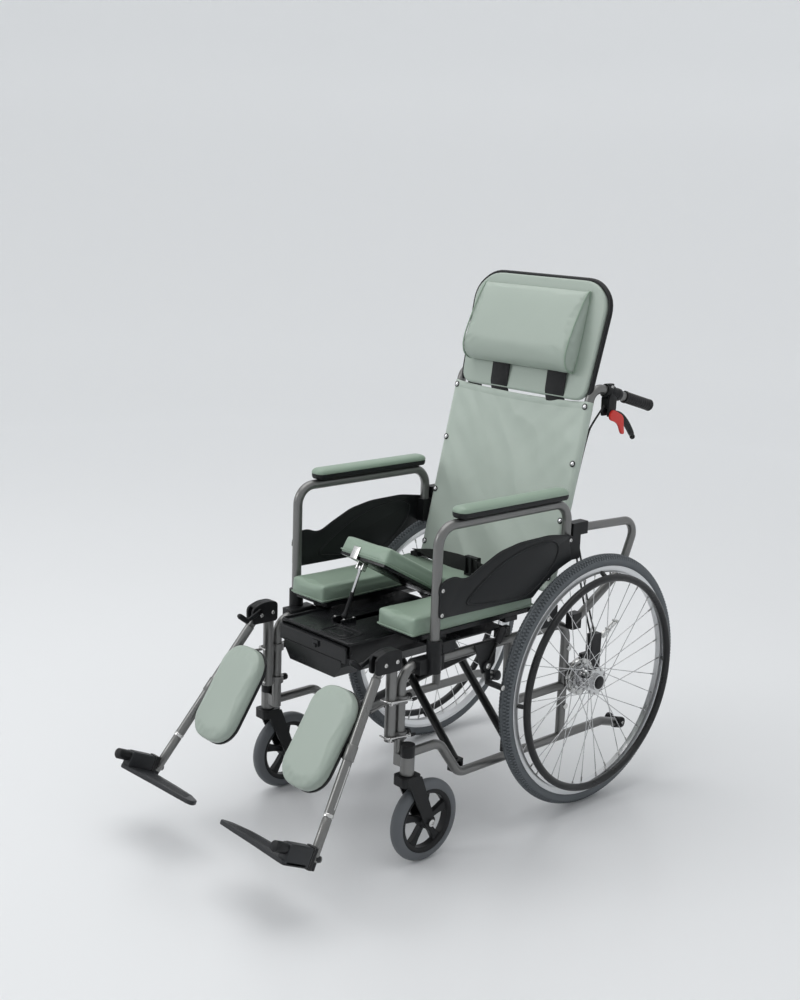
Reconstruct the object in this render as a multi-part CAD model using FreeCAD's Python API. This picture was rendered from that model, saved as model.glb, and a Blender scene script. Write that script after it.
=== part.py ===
import FreeCAD
import Part
import math
import os

# Reclining commode wheelchair in millimetres.
# X points to the user's left, Y to the rear, Z up, and the floor is Z = 0.
# Heights are above the floor. Fore-and-aft sizes are behind the rear axle, so those ahead of it are negative.

# Gaps between pieces
RUN_GAP = 0.08
SEAT_GAP = 0.25
CLEAR_GAP = 0.4
SLIDE_GAP = 0.6

# Turns
PARALLEL_DEG = 8.0
FULL_TURN = 360.0

# Rear wheels
TYRE_R = 305.0
TYRE_HALF_WIDTH = 16.5
WHEEL_X = 263.0
TYRE_DEPTH = 26.0
TYRE_SEAT_HALF_WIDTH = 13.5
RIM_FLANK_DEPTH = 7.0
RIM_WELL_DEPTH = 10.0
RIM_SEAT_R = TYRE_R - TYRE_DEPTH
RIM_FLANK_R = RIM_SEAT_R - RIM_FLANK_DEPTH
RIM_INNER_R = RIM_FLANK_R - RIM_WELL_DEPTH
RIM_WELL_HALF_WIDTH = 7.0
HANDRIM_INSET = 7.3
HANDRIM_R = RIM_INNER_R - HANDRIM_INSET
HANDRIM_X = 296.0
HANDRIM_BAR_R = 8.8
HANDRIM_TAB_COUNT = 4
HANDRIM_TAB_R = 3.5
SPOKES_PER_SET = 9
SPOKE_R = 1.0
SPOKE_LEAN_DEG = 60.0
SPOKE_RIM_OFFSET = 4.0
HUB_HALF_WIDTH = 22.0
HUB_BARREL_R = 17.0
HUB_FLANGE_R = 33.0
HUB_FLANGE_THICK = 3.0
HUB_HEAD_R = 29.0
HUB_CAP_R = 20.0
HUB_CAP_LENGTH = 8.0
AXLE_R = 6.0

# Side frames
FRAME_X = 213.0
FRAME_TUBE_R = 11.0
FRAME_RAIL_R = 10.7
FRAME_WALL = 1.6
FRAME_BEND = 38.0
FRONT_POST_Y = -566.0
FRONT_POST_FOOT_Z = 226.0
SEAT_RAIL_Z = 440.0
REAR_POST_Y = -38.0
LOW_RAIL_Z = 155.0
LOW_FRONT_Z = 243.0
LOW_BEND_FRONT_Y = -446.0
LOW_BEND_REAR_Y = -382.0
LOW_TAIL_BEND_Y = 118.0
LOW_TAIL_Y = 172.0
LOW_TAIL_Z = 139.0
MID_RAIL_Z = 285.0
MID_RAIL_FRONT_Y = -235.0
AXLE_PLATE_HALF = 6.0
AXLE_PLATE_REAR_Y = 20.0
AXLE_PLATE_HALF_HEIGHT = 27.0
LOOP_X = 235.0
LOOP_TUBE_R = 10.0
LOOP_BEND = 34.0
LOOP_TOP_FRONT = (-46.0, 676.0)
LOOP_TOP_REAR = (176.0, 667.0)
LOOP_LOW_REAR = (124.0, 548.0)
LOOP_LOW_FRONT = (-40.0, 446.0)

# Cross brace
BRACE_R = 10.0
BRACE_WALL = 1.6
BRACE_END_X = 190.0
BRACE_LOW_Z = 172.0
BRACE_HIGH_Z = 432.0
BRACE_LEAN = 74.0
BRACE_FRONT_Y = -320.0
BRACE_REAR_Y = -158.0
BRACE_SPLIT = 10.6
BRACE_LUG_HALF = 13.0
BRACE_LUG_INNER_X = 178.0
BRACE_BOLT_R = 4.0

# Casters
CASTER_X = 243.0
STEM_Y = -568.0
STEM_R = 8.0
HOUSING_R = 15.5
HOUSING_LOW_Z = 213.4
HOUSING_TOP_Z = 254.0
STEM_CAP_TOP_Z = 281.0
CROWN_LOW_Z = 191.0
CROWN_TOP_Z = 212.0
CROWN_HALF_WIDTH = 21.0
CROWN_FRONT_Y = -592.0
CROWN_REAR_Y = -542.0
CASTER_R = 93.0
CASTER_HALF_WIDTH = 13.5
CASTER_TREAD_ROUND = 9.5
CASTER_TYRE_INNER_R = 72.0
CASTER_FELLOE_R = 62.0
CASTER_HUB_R = 17.0
CASTER_HUB_HALF = 15.5
CASTER_SPOKES = 5
CASTER_SPOKE_HALF = 7.0
CASTER_AXLE_Y = -513.0
CASTER_AXLE_R = 5.0
FORK_LEG_THICK = 4.5
FORK_BOSS_R = 15.0
AXLE_NUT_R = 8.0
AXLE_NUT_LENGTH = 5.0

# Armrests
ARM_X = 235.0
ARM_TUBE_R = 11.0
ARM_WALL = 1.6
ARM_FRONT_Y = -494.0
ARM_REAR_Y = -85.0
ARM_TOP_Z = 741.0
ARM_BEND = 44.0
ARM_FRONT_FOOT_Z = 452.0
ARM_REAR_FOOT_Z = 618.0
PAD_FRONT_Y = -446.0
PAD_REAR_Y = -98.0
PAD_HALF_WIDTH = 22.0
PAD_BASE_THICK = 5.0
PAD_THICK = 25.0
PAD_ROUND = 9.0
PAD_TOP_ROUND = 8.0
GUARD_INNER_X = 246.4
GUARD_THICK = 3.2
GUARD_SCREW_R = 4.0
GUARD_SCREW_HEAD = 2.0
GUARD_WHEEL_GAP = 6.0
GUARD_DROP = 70.0
GUARD_LOW_Z = 2.0 * TYRE_R - GUARD_DROP
GUARD_OUTLINE = ((-497.0, 0.0), (-497.0, 73.0), (-484.0, 87.0), (-454.0, 90.0), (-432.0, 81.0),
                 (-410.0, 81.0), (-379.0, 97.0), (-318.0, 123.0), (-255.0, 134.0), (-156.0, 136.0),
                 (-76.0, 124.0), (-76.0, 0.0))
GUARD_SCREWS = ((-490.0, 66.0), (-490.0, 12.0), (-85.0, 115.0))

# Black castings that hold the armrests and the back hinge
SOCKET_TOP_Z = 495.0
SOCKET_R = 16.5
SOCKET_LOW_Z = 423.0
SOCKET_FRONT_Y = -534.0
SOCKET_REAR_Y = -462.0
REAR_SOCKET_LOW_Z = 606.0
REAR_SOCKET_TOP_Z = 662.0
REAR_SOCKET_HALF = 14.5
REAR_SOCKET_INNER_X = 222.5
HINGE_FRONT_Y = -148.0
HINGE_REAR_Y = -84.0
HINGE_TOP_Z = 494.0
HINGE_CHEEK = 4.5
HINGE_PIN_R = 6.0
LOOP_CLAMP_FRONT_Y = -52.0
LOOP_CLAMP_REAR_Y = -22.0
LOOP_CLAMP_LOW_Z = 432.0
LOOP_CLAMP_TOP_Z = 470.0

# Backrest
BACK_TILT_DEG = 13.3
BACK_PIVOT_Y = -116.0
BACK_PIVOT_Z = 468.0
POST_X = 207.0
POST_R = 11.0
POST_WALL = 1.6
POST_CORNER = 544.0
HANDLE_BEND = 32.0
HANDLE_X = 231.0
HANDLE_END_Y = 192.0
HANDLE_END_Z = 942.0
GRIP_R = 16.5
GRIP_LENGTH = 104.0
SHEET_HALF_WIDTH = 219.0
SHEET_LOW = 58.0
SHEET_TOP = 506.0
SHEET_THICK = 3.0
RIVET_R = 6.0
RIVET_HEAD = 2.4
RIVET_HEIGHTS = (92.0, 226.0, 360.0, 494.0)
HEAD_LOW = 510.0
HEAD_SHOULDER = 736.0
HEAD_TOP = 780.0
HEAD_LOW_HALF = 208.0
HEAD_SHOULDER_HALF = 212.0
HEAD_TOP_HALF = 160.0
HEAD_THICK = 18.0
HEAD_ROUND = 30.0
HEAD_NOTCH = 548.0
PILLOW_HALF_WIDTH = 162.0
PILLOW_OUTLINE = ((0.0, 758.0), (10.0, 757.0), (24.0, 722.0), (40.0, 668.0), (50.0, 622.0), (51.0, 594.0),
                  (42.0, 573.0), (26.0, 562.0), (0.0, 560.0))

# Brake levers on the push handles
LEVER_X = 217.0
LEVER_HOUSING_HALF = 12.5
LEVER_HOUSING_Y = 60.0
LEVER_HOUSING_HALF_LENGTH = 14.0
LEVER_HOUSING_LOW_Z = 924.0
LEVER_COLLAR_R = 15.5
LEVER_PIVOT_Y = 62.0
LEVER_PIVOT_Z = 936.0
LEVER_PIN_R = 3.0
LEVER_HALF_THICK = 5.0
LEVER_SLOT_HALF = 5.6
LEVER_EYE_R = 6.5
LEVER_OUTLINE = ((68.0, 930.0), (90.0, 908.0), (118.0, 888.0), (149.0, 873.0), (150.0, 865.0),
                 (112.0, 878.0), (80.0, 899.0), (57.0, 928.0))
TRIGGER_X = 232.2
TRIGGER_HALF_THICK = 2.0
TRIGGER_PIVOT_Y = 56.0
TRIGGER_PIVOT_Z = 938.0
TRIGGER_EYE_R = 5.0
TRIGGER_OUTLINE = ((60.0, 935.0), (84.0, 906.0), (96.0, 886.0), (89.0, 883.0), (74.0, 902.0), (52.0, 934.0))

# Cables
CABLE_R = 2.4
CABLE_BEND = 24.0
CABLE_CLIP_DEPTH = 14.2
UPPER_CABLE_START = (44.0, 938.0)
UPPER_CABLE_CORNER = (14.0, 922.0)
UPPER_CABLE_MEET = 430.0
UPPER_CABLE_END = 190.0
LOWER_CABLE_X = 221.5
LOWER_CABLE_POINTS = ((-44.0, 650.0), (-22.0, 590.0), (14.0, 470.0))
LOWER_CABLE_END_Y = 44.0
LOWER_CABLE_STEP = 14.0

# Hub brakes
BRAKE_PLATE_R = 44.0
BRAKE_PLATE_IN_X = 226.0
BRAKE_PLATE_OUT_X = 237.0
BRAKE_BOX_IN_X = 218.0
BRAKE_BOX_FRONT_Y = 34.0
BRAKE_BOX_REAR_Y = 68.0
BRAKE_BOX_RISE = 33.0
BRAKE_BOX_HEIGHT = 62.0
BRAKE_BOX_LOW_Z = TYRE_R + BRAKE_BOX_RISE
BRAKE_BOX_TOP_Z = BRAKE_BOX_LOW_Z + BRAKE_BOX_HEIGHT

# Wheel locks
LOCK_PLATE_X = 224.6
LOCK_PLATE_THICK = 4.0
LOCK_PLATE_OUTLINE = ((-362.0, 453.0), (-292.0, 453.0), (-296.0, 400.0), (-312.0, 382.0), (-334.0, 382.0))
LOCK_PIVOT_Y = -323.0
LOCK_PIVOT_Z = 399.0
LOCK_PIN_R = 4.0
LOCK_LEVER_THICK = 5.0
LOCK_LEVER_EYE_R = 12.0
LOCK_SHOE_AHEAD = 14.0
LOCK_SHOE_RISE = 55.0
LOCK_SHOE_Y = -TYRE_R - LOCK_SHOE_AHEAD
LOCK_SHOE_Z = TYRE_R + LOCK_SHOE_RISE
LOCK_SHOE_R = 7.0
LOCK_SHOE_END_X = 278.0
LOCK_ARM_HALF = 7.0
LOCK_GRIP_Y = -276.0
LOCK_GRIP_Z = 478.0
LOCK_GRIP_R = 8.0
LOCK_GRIP_START = 0.6

# Seat, flap and commode
SEAT_SIDE_GAP = 16.0
SEAT_HALF_WIDTH = ARM_X - ARM_TUBE_R - SEAT_SIDE_GAP
SEAT_INNER_X = 92.0
SEAT_FRONT_Y = -520.0
SEAT_REAR_Y = -152.0
SEAT_BACK_PAD_Y = -258.0
SEAT_TOP_Z = 539.0
SEAT_PAD_THICK = 41.0
SEAT_ROUND = 9.0
BOARD_THICK = 10.0
BOARD_INSET = 3.0
SPACER_INNER_X = 190.0
SPACER_OUTER_X = 206.0
SPACER_LENGTH = 40.0
SPACER_FRONT_Y = -470.0
SPACER_REAR_Y = -200.0
DECK_TOP_Z = 477.0
DECK_THICK = 4.0
DECK_PAST_RAIL = 7.0
DECK_HALF_WIDTH = FRAME_X + DECK_PAST_RAIL
DECK_WING_FRONT_Y = -486.0
DECK_REAR_Y = -262.0
DECK_FRONT_Y = -628.0
DECK_FRONT_HALF = 118.0
RUNNER_IN_X = 113.6
RUNNER_LOW_Z = 446.0
RUNNER_LIP_IN_X = 101.0
RUNNER_LIP_THICK = 3.0
DECK_FOOT_IN_X = 206.0
DRAWER_FRONT_Y = -636.0
DRAWER_REAR_Y = -330.0
DRAWER_HALF_TOP = 98.0
DRAWER_HALF_LOW = 76.0
DRAWER_LOW_Z = 396.0
DRAWER_TOP_Z = 471.6
DRAWER_WALL = 3.0
DRAWER_FLANGE_HALF = 112.6
DRAWER_FLANGE_THICK = 4.0
DRAWER_FACE_THICK = 5.0
DRAWER_FACE_LOW_Z = 436.0
DRAWER_TAPER_Z = 424.0
FLAP_HALF_WIDTH = 76.0
FLAP_FRONT_Y = -520.0
FLAP_REAR_Y = -284.0
FLAP_RAISE_DEG = 29.0
FLAP_PIN_Y = -274.0
FLAP_PIN_Z = 500.0
FLAP_PIN_R = 4.0
FLAP_EYE_R = 8.0
FLAP_EYE_HALF = 16.0
FLAP_LUG_IN = 34.0
FLAP_LUG_OUT = 44.0
FLAP_EYE_X = 22.0
PROP_X = -22.0
PROP_Y = -500.0
PROP_DROP = 18.0
PROP_R = 5.0
PROP_SLEEVE_R = 7.5
PROP_PIN_R = 3.0
PROP_EYE_R = 6.5
PROP_EAR_HALF_GAP = 7.0
PROP_EAR_THICK = 4.0
PROP_LENGTH = 118.0
PROP_SLEEVE_START = 48.0
PROP_LEAN_DEG = 23.0
PROP_SLOT_HALF = 12.5
PROP_SLOT_FRONT_Y = -548.0
PROP_SLOT_REAR_Y = -370.0
PROP_FOOT_HALF = 18.0
PROP_FOOT_REAR_Y = -506.0
PROP_FOOT_HEIGHT = 9.0
BELT_HALF_WIDTH = 19.0
BELT_THICK = 2.4
BELT_REAR_Y = -160.0
BELT_BOW = 34.0
BELT_END_X = 176.0
BELT_MID_Z = 562.0

# Legrests
HANGER_X = 212.0
HANGER_Y = -593.0
HANGER_R = 12.0
HANGER_WALL = 1.8
HANGER_LOW_Z = 285.0
HANGER_TOP_Z = 452.0
RING_R = 16.0
RING_HALF = 8.0
RING_HEIGHTS = (293.5, 374.0)
RING_ARM_HALF = 8.0
KNOB_R = 6.0
KNOB_REACH = 26.0
KNEE_Y = -622.0
KNEE_Z = 464.0
KNEE_PIN_R = 5.0
COVER_HALF_WIDTH = 13.0
COVER_SLOT_HALF = 5.6
COVER_OUTLINE = ((-646.0, 444.0), (-577.0, 443.0), (-577.0, 484.0), (-590.0, 490.0), (-618.0, 490.0),
                 (-640.0, 483.0), (-647.0, 476.0))
COVER_SLOT_REAR_Y = -606.0
COVER_SLOT_TOP_Z = 480.0
LEG_FOOT_X = 283.0
LEG_FOOT_Y = -862.0
LEG_FOOT_Z = 108.0
LEG_R = 10.5
LEG_BORE_R = 8.9
LEG_TUBE_START = 34.0
LEG_TUBE_END = 330.0
TONGUE_HALF = 5.0
TONGUE_HALF_HEIGHT = 9.0
FOOT_TUBE_R = 8.4
FOOT_TUBE_START = 225.0
CALF_HALF_WIDTH = 66.0
CALF_HALF_LENGTH = 113.0
CALF_CENTRE_X = 159.0
CALF_CENTRE_Y = -724.0
CALF_CENTRE_Z = 302.0
CALF_TILT_DEG = 33.0
CALF_THICK = 37.0
CALF_ROUND = 10.0
CALF_CORNER = 53.0
CALF_ARM_AT = 196.0
CALF_ARM_HALF = 20.0
CALF_ARM_THICK = 5.0
CALF_ARM_IN_X = 130.0
CLAMP_R = 15.0
RELEASE_X = 193.5
RELEASE_PIVOT_Y = -632.0
RELEASE_PIVOT_Z = 474.0
RELEASE_PIN_R = 3.0
RELEASE_EYE_R = 6.0
RELEASE_HALF = 2.6
RELEASE_KNOB_HALF = 5.0
RELEASE_ARM = ((-633.0, 478.0), (-668.0, 462.5), (-671.0, 453.0), (-631.0, 470.0))
RELEASE_KNOB = ((-660.0, 455.0), (-671.0, 453.0), (-694.0, 471.0), (-688.0, 479.0), (-668.0, 464.0))
STOP_R = 3.0
STOP_Z = 372.0
STOP_PAST = 16.8

# Footplates, sized along and square to their own tilted axis from the foot of the leg tube
FOOT_TILT_DEG = 25.0
FLIP_X = 283.0
FLIP_RISE = 31.0
FLIP_PIN_R = 5.0
FLIP_FRONT = -84.0
FLIP_REAR = -18.0
FLIP_BLOCK_HALF_X = 13.0
FLIP_BLOCK_TOP = 42.0
FLIP_KNOB_R = 11.0
FLIP_KNOB_LENGTH = 30.0
CARRIER_FRONT = -17.4
CARRIER_REAR = -8.0
CARRIER_LOW = -2.0
CARRIER_TOP = 44.0
CARRIER_WEB_RISE = 14.0
END_KNOB_R = 7.0
END_KNOB_RISE = 20.0
END_KNOB_END = 18.0
BLADE_LOW = 0.0
BLADE_TOP = 10.0
BLADE_OUTLINE = ((58.0, -66.0), (52.0, -56.0), (64.0, -36.0), (110.0, -17.0), (180.0, -13.0), (244.0, -13.0),
                 (262.0, -18.0), (296.0, -18.0), (296.0, -88.0), (250.0, -84.0), (180.0, -76.0),
                 (110.0, -71.0))

# Where the origin lies: half way between the front of the footplates and the rear of the tyres
FOOT_TILT = math.radians(FOOT_TILT_DEG)
KNOB_REACH_ALONG = (FLIP_KNOB_LENGTH - FLIP_FRONT) * math.cos(FOOT_TILT)
KNOB_REACH_LOST = (FLIP_RISE - FLIP_KNOB_R) * math.sin(FOOT_TILT)
FOOT_REACH = KNOB_REACH_ALONG - KNOB_REACH_LOST - LEG_FOOT_Y
AXLE_Y = (FOOT_REACH - TYRE_R) / 2.0

# Small end plugs and bolts
PLUG_R = 14.0
PLUG_LENGTH = 26.0
BOLT_HEAD_R = 7.0
BOLT_HEAD_LENGTH = 4.0
UPRIGHT_BOLT_HEIGHTS = (235.0, 380.0)

VX = FreeCAD.Vector(1.0, 0.0, 0.0)
VY = FreeCAD.Vector(0.0, 1.0, 0.0)
VZ = FreeCAD.Vector(0.0, 0.0, 1.0)
ORIGIN = FreeCAD.Vector(0.0, 0.0, 0.0)


# Helpers for placing and shaping


def at(x, y, z):
    return FreeCAD.Vector(x, AXLE_Y + y, z)


def block(x_range, y_range, z_range):
    size_x = x_range[1] - x_range[0]
    size_y = y_range[1] - y_range[0]
    size_z = z_range[1] - z_range[0]
    return Part.makeBox(size_x, size_y, size_z, at(x_range[0], y_range[0], z_range[0]))


def bar(start, end, radius):
    return Part.makeCylinder(radius, (end - start).Length, start, end - start)


def pin_x(x_range, y, z, radius):
    return bar(at(x_range[0], y, z), at(x_range[1], y, z), radius)


def pin_y(x, y_range, z, radius):
    return bar(at(x, y_range[0], z), at(x, y_range[1], z), radius)


def pin_z(x, y, z_range, radius):
    return bar(at(x, y, z_range[0]), at(x, y, z_range[1]), radius)


def bent_path(points, bend):
    edges = []
    start = points[0]
    for before, corner, after in zip(points, points[1:], points[2:]):
        back = (before - corner).normalize()
        ahead = (after - corner).normalize()
        half = back.getAngle(ahead) / 2.0
        reach = bend / math.tan(half)
        middle = (back + ahead).normalize() * (bend / math.sin(half) - bend)
        arc_start = corner + back * reach
        arc_end = corner + ahead * reach
        edges.append(Part.LineSegment(start, arc_start).toShape())
        edges.append(Part.Arc(arc_start, corner + middle, arc_end).toShape())
        start = arc_end
    edges.append(Part.LineSegment(start, points[-1]).toShape())
    return Part.Wire(edges)


def bent_bar(points, radius, bend):
    ring = Part.Wire(Part.makeCircle(radius, points[0], points[1] - points[0]))
    return bent_path(points, bend).makePipeShell([ring], True, False)


def plate_yz(outline, x_range):
    points = [at(x_range[0], y, z) for y, z in outline]
    face = Part.Face(Part.makePolygon(points + [points[0]]))
    return face.extrude(FreeCAD.Vector(x_range[1] - x_range[0], 0.0, 0.0))


def plate_xy(outline, z_range):
    points = [at(x, y, z_range[0]) for x, y in outline]
    face = Part.Face(Part.makePolygon(points + [points[0]]))
    return face.extrude(FreeCAD.Vector(0.0, 0.0, z_range[1] - z_range[0]))


def fuse(shapes):
    return shapes[0].multiFuse(shapes[1:]).removeSplitter()


def mirrored(shape):
    return shape.mirror(ORIGIN, VX)


def both_sides(shapes):
    return Part.makeCompound(shapes + [mirrored(shape) for shape in shapes])


def edges_along(solid, direction):
    least = math.cos(math.radians(PARALLEL_DEG))
    return [edge for edge in solid.Edges if abs(edge.tangentAt(edge.FirstParameter).dot(direction)) > least]


def rounded(solid, radius, direction):
    return solid.makeFillet(radius, edges_along(solid, direction))


def lean_back(shape):
    shape.rotate(ORIGIN, VX, -BACK_TILT_DEG)
    shape.translate(at(0.0, BACK_PIVOT_Y, BACK_PIVOT_Z))
    return shape


def back_point(x, rear, along):
    tilt = math.radians(BACK_TILT_DEG)
    y = BACK_PIVOT_Y + along * math.sin(tilt) + rear * math.cos(tilt)
    z = BACK_PIVOT_Z + along * math.cos(tilt) - rear * math.sin(tilt)
    return at(x, y, z)


def leg_point(distance):
    knee = at(HANGER_X, KNEE_Y, KNEE_Z)
    foot = at(LEG_FOOT_X, LEG_FOOT_Y, LEG_FOOT_Z)
    return knee + (foot - knee).normalize() * distance


def leg_length():
    return (at(LEG_FOOT_X, LEG_FOOT_Y, LEG_FOOT_Z) - at(HANGER_X, KNEE_Y, KNEE_Z)).Length


def save(name, shape):
    shape.exportStep("parts/" + name + ".step")


def save_sides(name, shape):
    save(name + "_left", shape)
    save(name + "_right", mirrored(shape))


# Rear wheels


def wheel_point(x, radius, degrees):
    turn = math.radians(degrees)
    return at(x, radius * math.sin(turn), TYRE_R + radius * math.cos(turn))


def tyre():
    centre_r = TYRE_R - TYRE_HALF_WIDTH
    ring = Part.makeTorus(centre_r, TYRE_HALF_WIDTH, at(WHEEL_X, 0.0, TYRE_R), VX)
    edge = WHEEL_X - 2.0 * TYRE_HALF_WIDTH
    return ring.cut(pin_x((edge, edge + 4.0 * TYRE_HALF_WIDTH), 0.0, TYRE_R, RIM_SEAT_R))


def rim():
    seat_half = TYRE_SEAT_HALF_WIDTH
    profile = ((seat_half, RIM_SEAT_R), (seat_half, RIM_FLANK_R), (RIM_WELL_HALF_WIDTH, RIM_INNER_R),
               (-RIM_WELL_HALF_WIDTH, RIM_INNER_R), (-seat_half, RIM_FLANK_R), (-seat_half, RIM_SEAT_R))
    points = [at(WHEEL_X + x, 0.0, TYRE_R + radius) for x, radius in profile]
    face = Part.Face(Part.makePolygon(points + [points[0]]))
    return face.revolve(at(WHEEL_X, 0.0, TYRE_R), VX, FULL_TURN)


def hub():
    inner = WHEEL_X - HUB_HALF_WIDTH
    outer = WHEEL_X + HUB_HALF_WIDTH
    barrel = pin_x((inner, outer), 0.0, TYRE_R, HUB_BARREL_R)
    flange_in = pin_x((inner, inner + HUB_FLANGE_THICK), 0.0, TYRE_R, HUB_FLANGE_R)
    flange_out = pin_x((outer - HUB_FLANGE_THICK, outer), 0.0, TYRE_R, HUB_FLANGE_R)
    cap = pin_x((outer, outer + HUB_CAP_LENGTH), 0.0, TYRE_R, HUB_CAP_R)
    bore = pin_x((inner, outer), 0.0, TYRE_R, AXLE_R + RUN_GAP)
    return fuse([barrel, flange_in, flange_out, cap]).cut(bore)


def spokes():
    solids = []
    head_gap = SPOKE_R + CLEAR_GAP
    end_r = RIM_INNER_R - CLEAR_GAP
    step = FULL_TURN / SPOKES_PER_SET
    for side in (-1.0, 1.0):
        face_x = WHEEL_X + side * HUB_HALF_WIDTH
        heads = ((face_x + side * head_gap, 1.0), (face_x - side * (HUB_FLANGE_THICK + head_gap), -1.0))
        for order, (head_x, lean) in enumerate(heads):
            for index in range(SPOKES_PER_SET):
                rim_turn = step * (index + order / 2.0 + (side + 1.0) / 8.0)
                head = wheel_point(head_x, HUB_HEAD_R, rim_turn + lean * SPOKE_LEAN_DEG)
                end = wheel_point(WHEEL_X + side * SPOKE_RIM_OFFSET, end_r, rim_turn)
                solids.append(bar(head, end, SPOKE_R))
    return solids


def handrim(rim_solid, tyre_solid):
    ring = Part.makeTorus(HANDRIM_R, HANDRIM_BAR_R, at(HANDRIM_X, 0.0, TYRE_R), VX)
    flank_r = (RIM_SEAT_R + RIM_FLANK_R) / 2.0
    tabs = []
    for index in range(HANDRIM_TAB_COUNT):
        turn = FULL_TURN * index / HANDRIM_TAB_COUNT
        inner_end = wheel_point(WHEEL_X, flank_r, turn)
        tabs.append(bar(inner_end, wheel_point(HANDRIM_X, HANDRIM_R, turn), HANDRIM_TAB_R))
    trimmed = [tab.cut(rim_solid).cut(tyre_solid) for tab in tabs]
    outer_ends = [max(tab.Solids, key=lambda solid: solid.CenterOfMass.x) for tab in trimmed]
    return fuse([ring] + outer_ends)


def build_wheels():
    tyre_solid = tyre()
    rim_solid = rim()
    save_sides("tyre", tyre_solid)
    save_sides("rim", rim_solid)
    save_sides("spokes_hub", Part.makeCompound([hub()] + spokes()))
    save_sides("handrim", handrim(rim_solid, tyre_solid))


# Side frames and what is welded to them


def frame_paths():
    x = FRAME_X
    main = [at(x, FRONT_POST_Y, FRONT_POST_FOOT_Z), at(x, FRONT_POST_Y, SEAT_RAIL_Z),
            at(x, REAR_POST_Y, SEAT_RAIL_Z), at(x, REAR_POST_Y, LOW_RAIL_Z)]
    low = [at(x, FRONT_POST_Y, LOW_FRONT_Z), at(x, LOW_BEND_FRONT_Y, LOW_FRONT_Z),
           at(x, LOW_BEND_REAR_Y, LOW_RAIL_Z), at(x, LOW_TAIL_BEND_Y, LOW_RAIL_Z),
           at(x, LOW_TAIL_Y, LOW_TAIL_Z)]
    middle = [at(x, REAR_POST_Y, MID_RAIL_Z), at(x, MID_RAIL_FRONT_Y, MID_RAIL_Z),
              at(x, MID_RAIL_FRONT_Y, SEAT_RAIL_Z)]
    return [main, low, middle]


def axle_plate():
    x_range = (FRAME_X - AXLE_PLATE_HALF, FRAME_X + AXLE_PLATE_HALF)
    z_range = (TYRE_R - AXLE_PLATE_HALF_HEIGHT, TYRE_R + AXLE_PLATE_HALF_HEIGHT)
    return block(x_range, (REAR_POST_Y, AXLE_PLATE_REAR_Y), z_range)


def caster_housing():
    barrel = pin_z(CASTER_X, STEM_Y, (HOUSING_LOW_Z, HOUSING_TOP_Z), HOUSING_R)
    web_low = FRONT_POST_FOOT_Z + FRAME_WALL
    web_half = FRAME_TUBE_R - FRAME_WALL
    web = block((FRAME_X, CASTER_X), (STEM_Y - web_half, STEM_Y + web_half), (web_low, HOUSING_TOP_Z))
    return fuse([barrel, web])


def side_frame():
    radii = [FRAME_TUBE_R, FRAME_RAIL_R, FRAME_RAIL_R]
    tubes = list(zip(frame_paths(), radii))
    solids = [bent_bar(path, radius, FRAME_BEND) for path, radius in tubes]
    frame = fuse(solids + [axle_plate(), caster_housing()])
    for path, radius in tubes:
        frame = frame.cut(bent_bar(path, radius - FRAME_WALL, FRAME_BEND))
    axle_hole = pin_x((0.0, CASTER_X), 0.0, TYRE_R, AXLE_R)
    stem_hole = pin_z(CASTER_X, STEM_Y, (HOUSING_LOW_Z, HOUSING_TOP_Z), STEM_R + RUN_GAP)
    return frame.cut(axle_hole).cut(stem_hole)


def rear_loop():
    points = [at(LOOP_X, y, z) for y, z in (LOOP_TOP_FRONT, LOOP_TOP_REAR, LOOP_LOW_REAR, LOOP_LOW_FRONT)]
    outer = bent_bar(points, LOOP_TUBE_R, LOOP_BEND)
    return outer.cut(bent_bar(points, LOOP_TUBE_R - FRAME_WALL, LOOP_BEND))


def brace_bar(middle_y, side):
    low = at(side * BRACE_END_X, middle_y - BRACE_LEAN / 2.0, BRACE_LOW_Z)
    high = at(-side * BRACE_END_X, middle_y + BRACE_LEAN / 2.0, BRACE_HIGH_Z)
    lugs = []
    for end, outward, height in ((low, side, LOW_RAIL_Z), (high, -side, SEAT_RAIL_Z)):
        y = end.y - AXLE_Y
        x_range = sorted((outward * BRACE_LUG_INNER_X, outward * (FRAME_X - FRAME_TUBE_R - SEAT_GAP)))
        z_range = sorted((height - BRACE_LUG_HALF / 2.0, end.z + BRACE_LUG_HALF / 2.0))
        lugs.append(block(x_range, (y - BRACE_LUG_HALF, y + BRACE_LUG_HALF), z_range))
    past = (high - low).normalize() * (BRACE_LUG_HALF + FRAME_TUBE_R)
    return fuse([bar(low, high, BRACE_R)] + lugs).cut(bar(low - past, high + past, BRACE_R - BRACE_WALL))


def brace_bolt_span():
    reach = 2.0 * BRACE_SPLIT + BOLT_HEAD_LENGTH
    return (BRACE_FRONT_Y - reach, BRACE_FRONT_Y + reach)


def brace_middle_z():
    return (BRACE_LOW_Z + BRACE_HIGH_Z) / 2.0


def build_frames():
    save("side_frames", both_sides([side_frame(), rear_loop()]))
    hole = pin_y(0.0, brace_bolt_span(), brace_middle_z(), BRACE_BOLT_R)
    front = brace_bar(BRACE_FRONT_Y - BRACE_SPLIT, 1.0).cut(hole)
    crossing = brace_bar(BRACE_FRONT_Y + BRACE_SPLIT, -1.0).cut(hole)
    rear = brace_bar(BRACE_REAR_Y, 1.0)
    save("cross_brace", Part.makeCompound([front, crossing, rear]))


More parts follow.
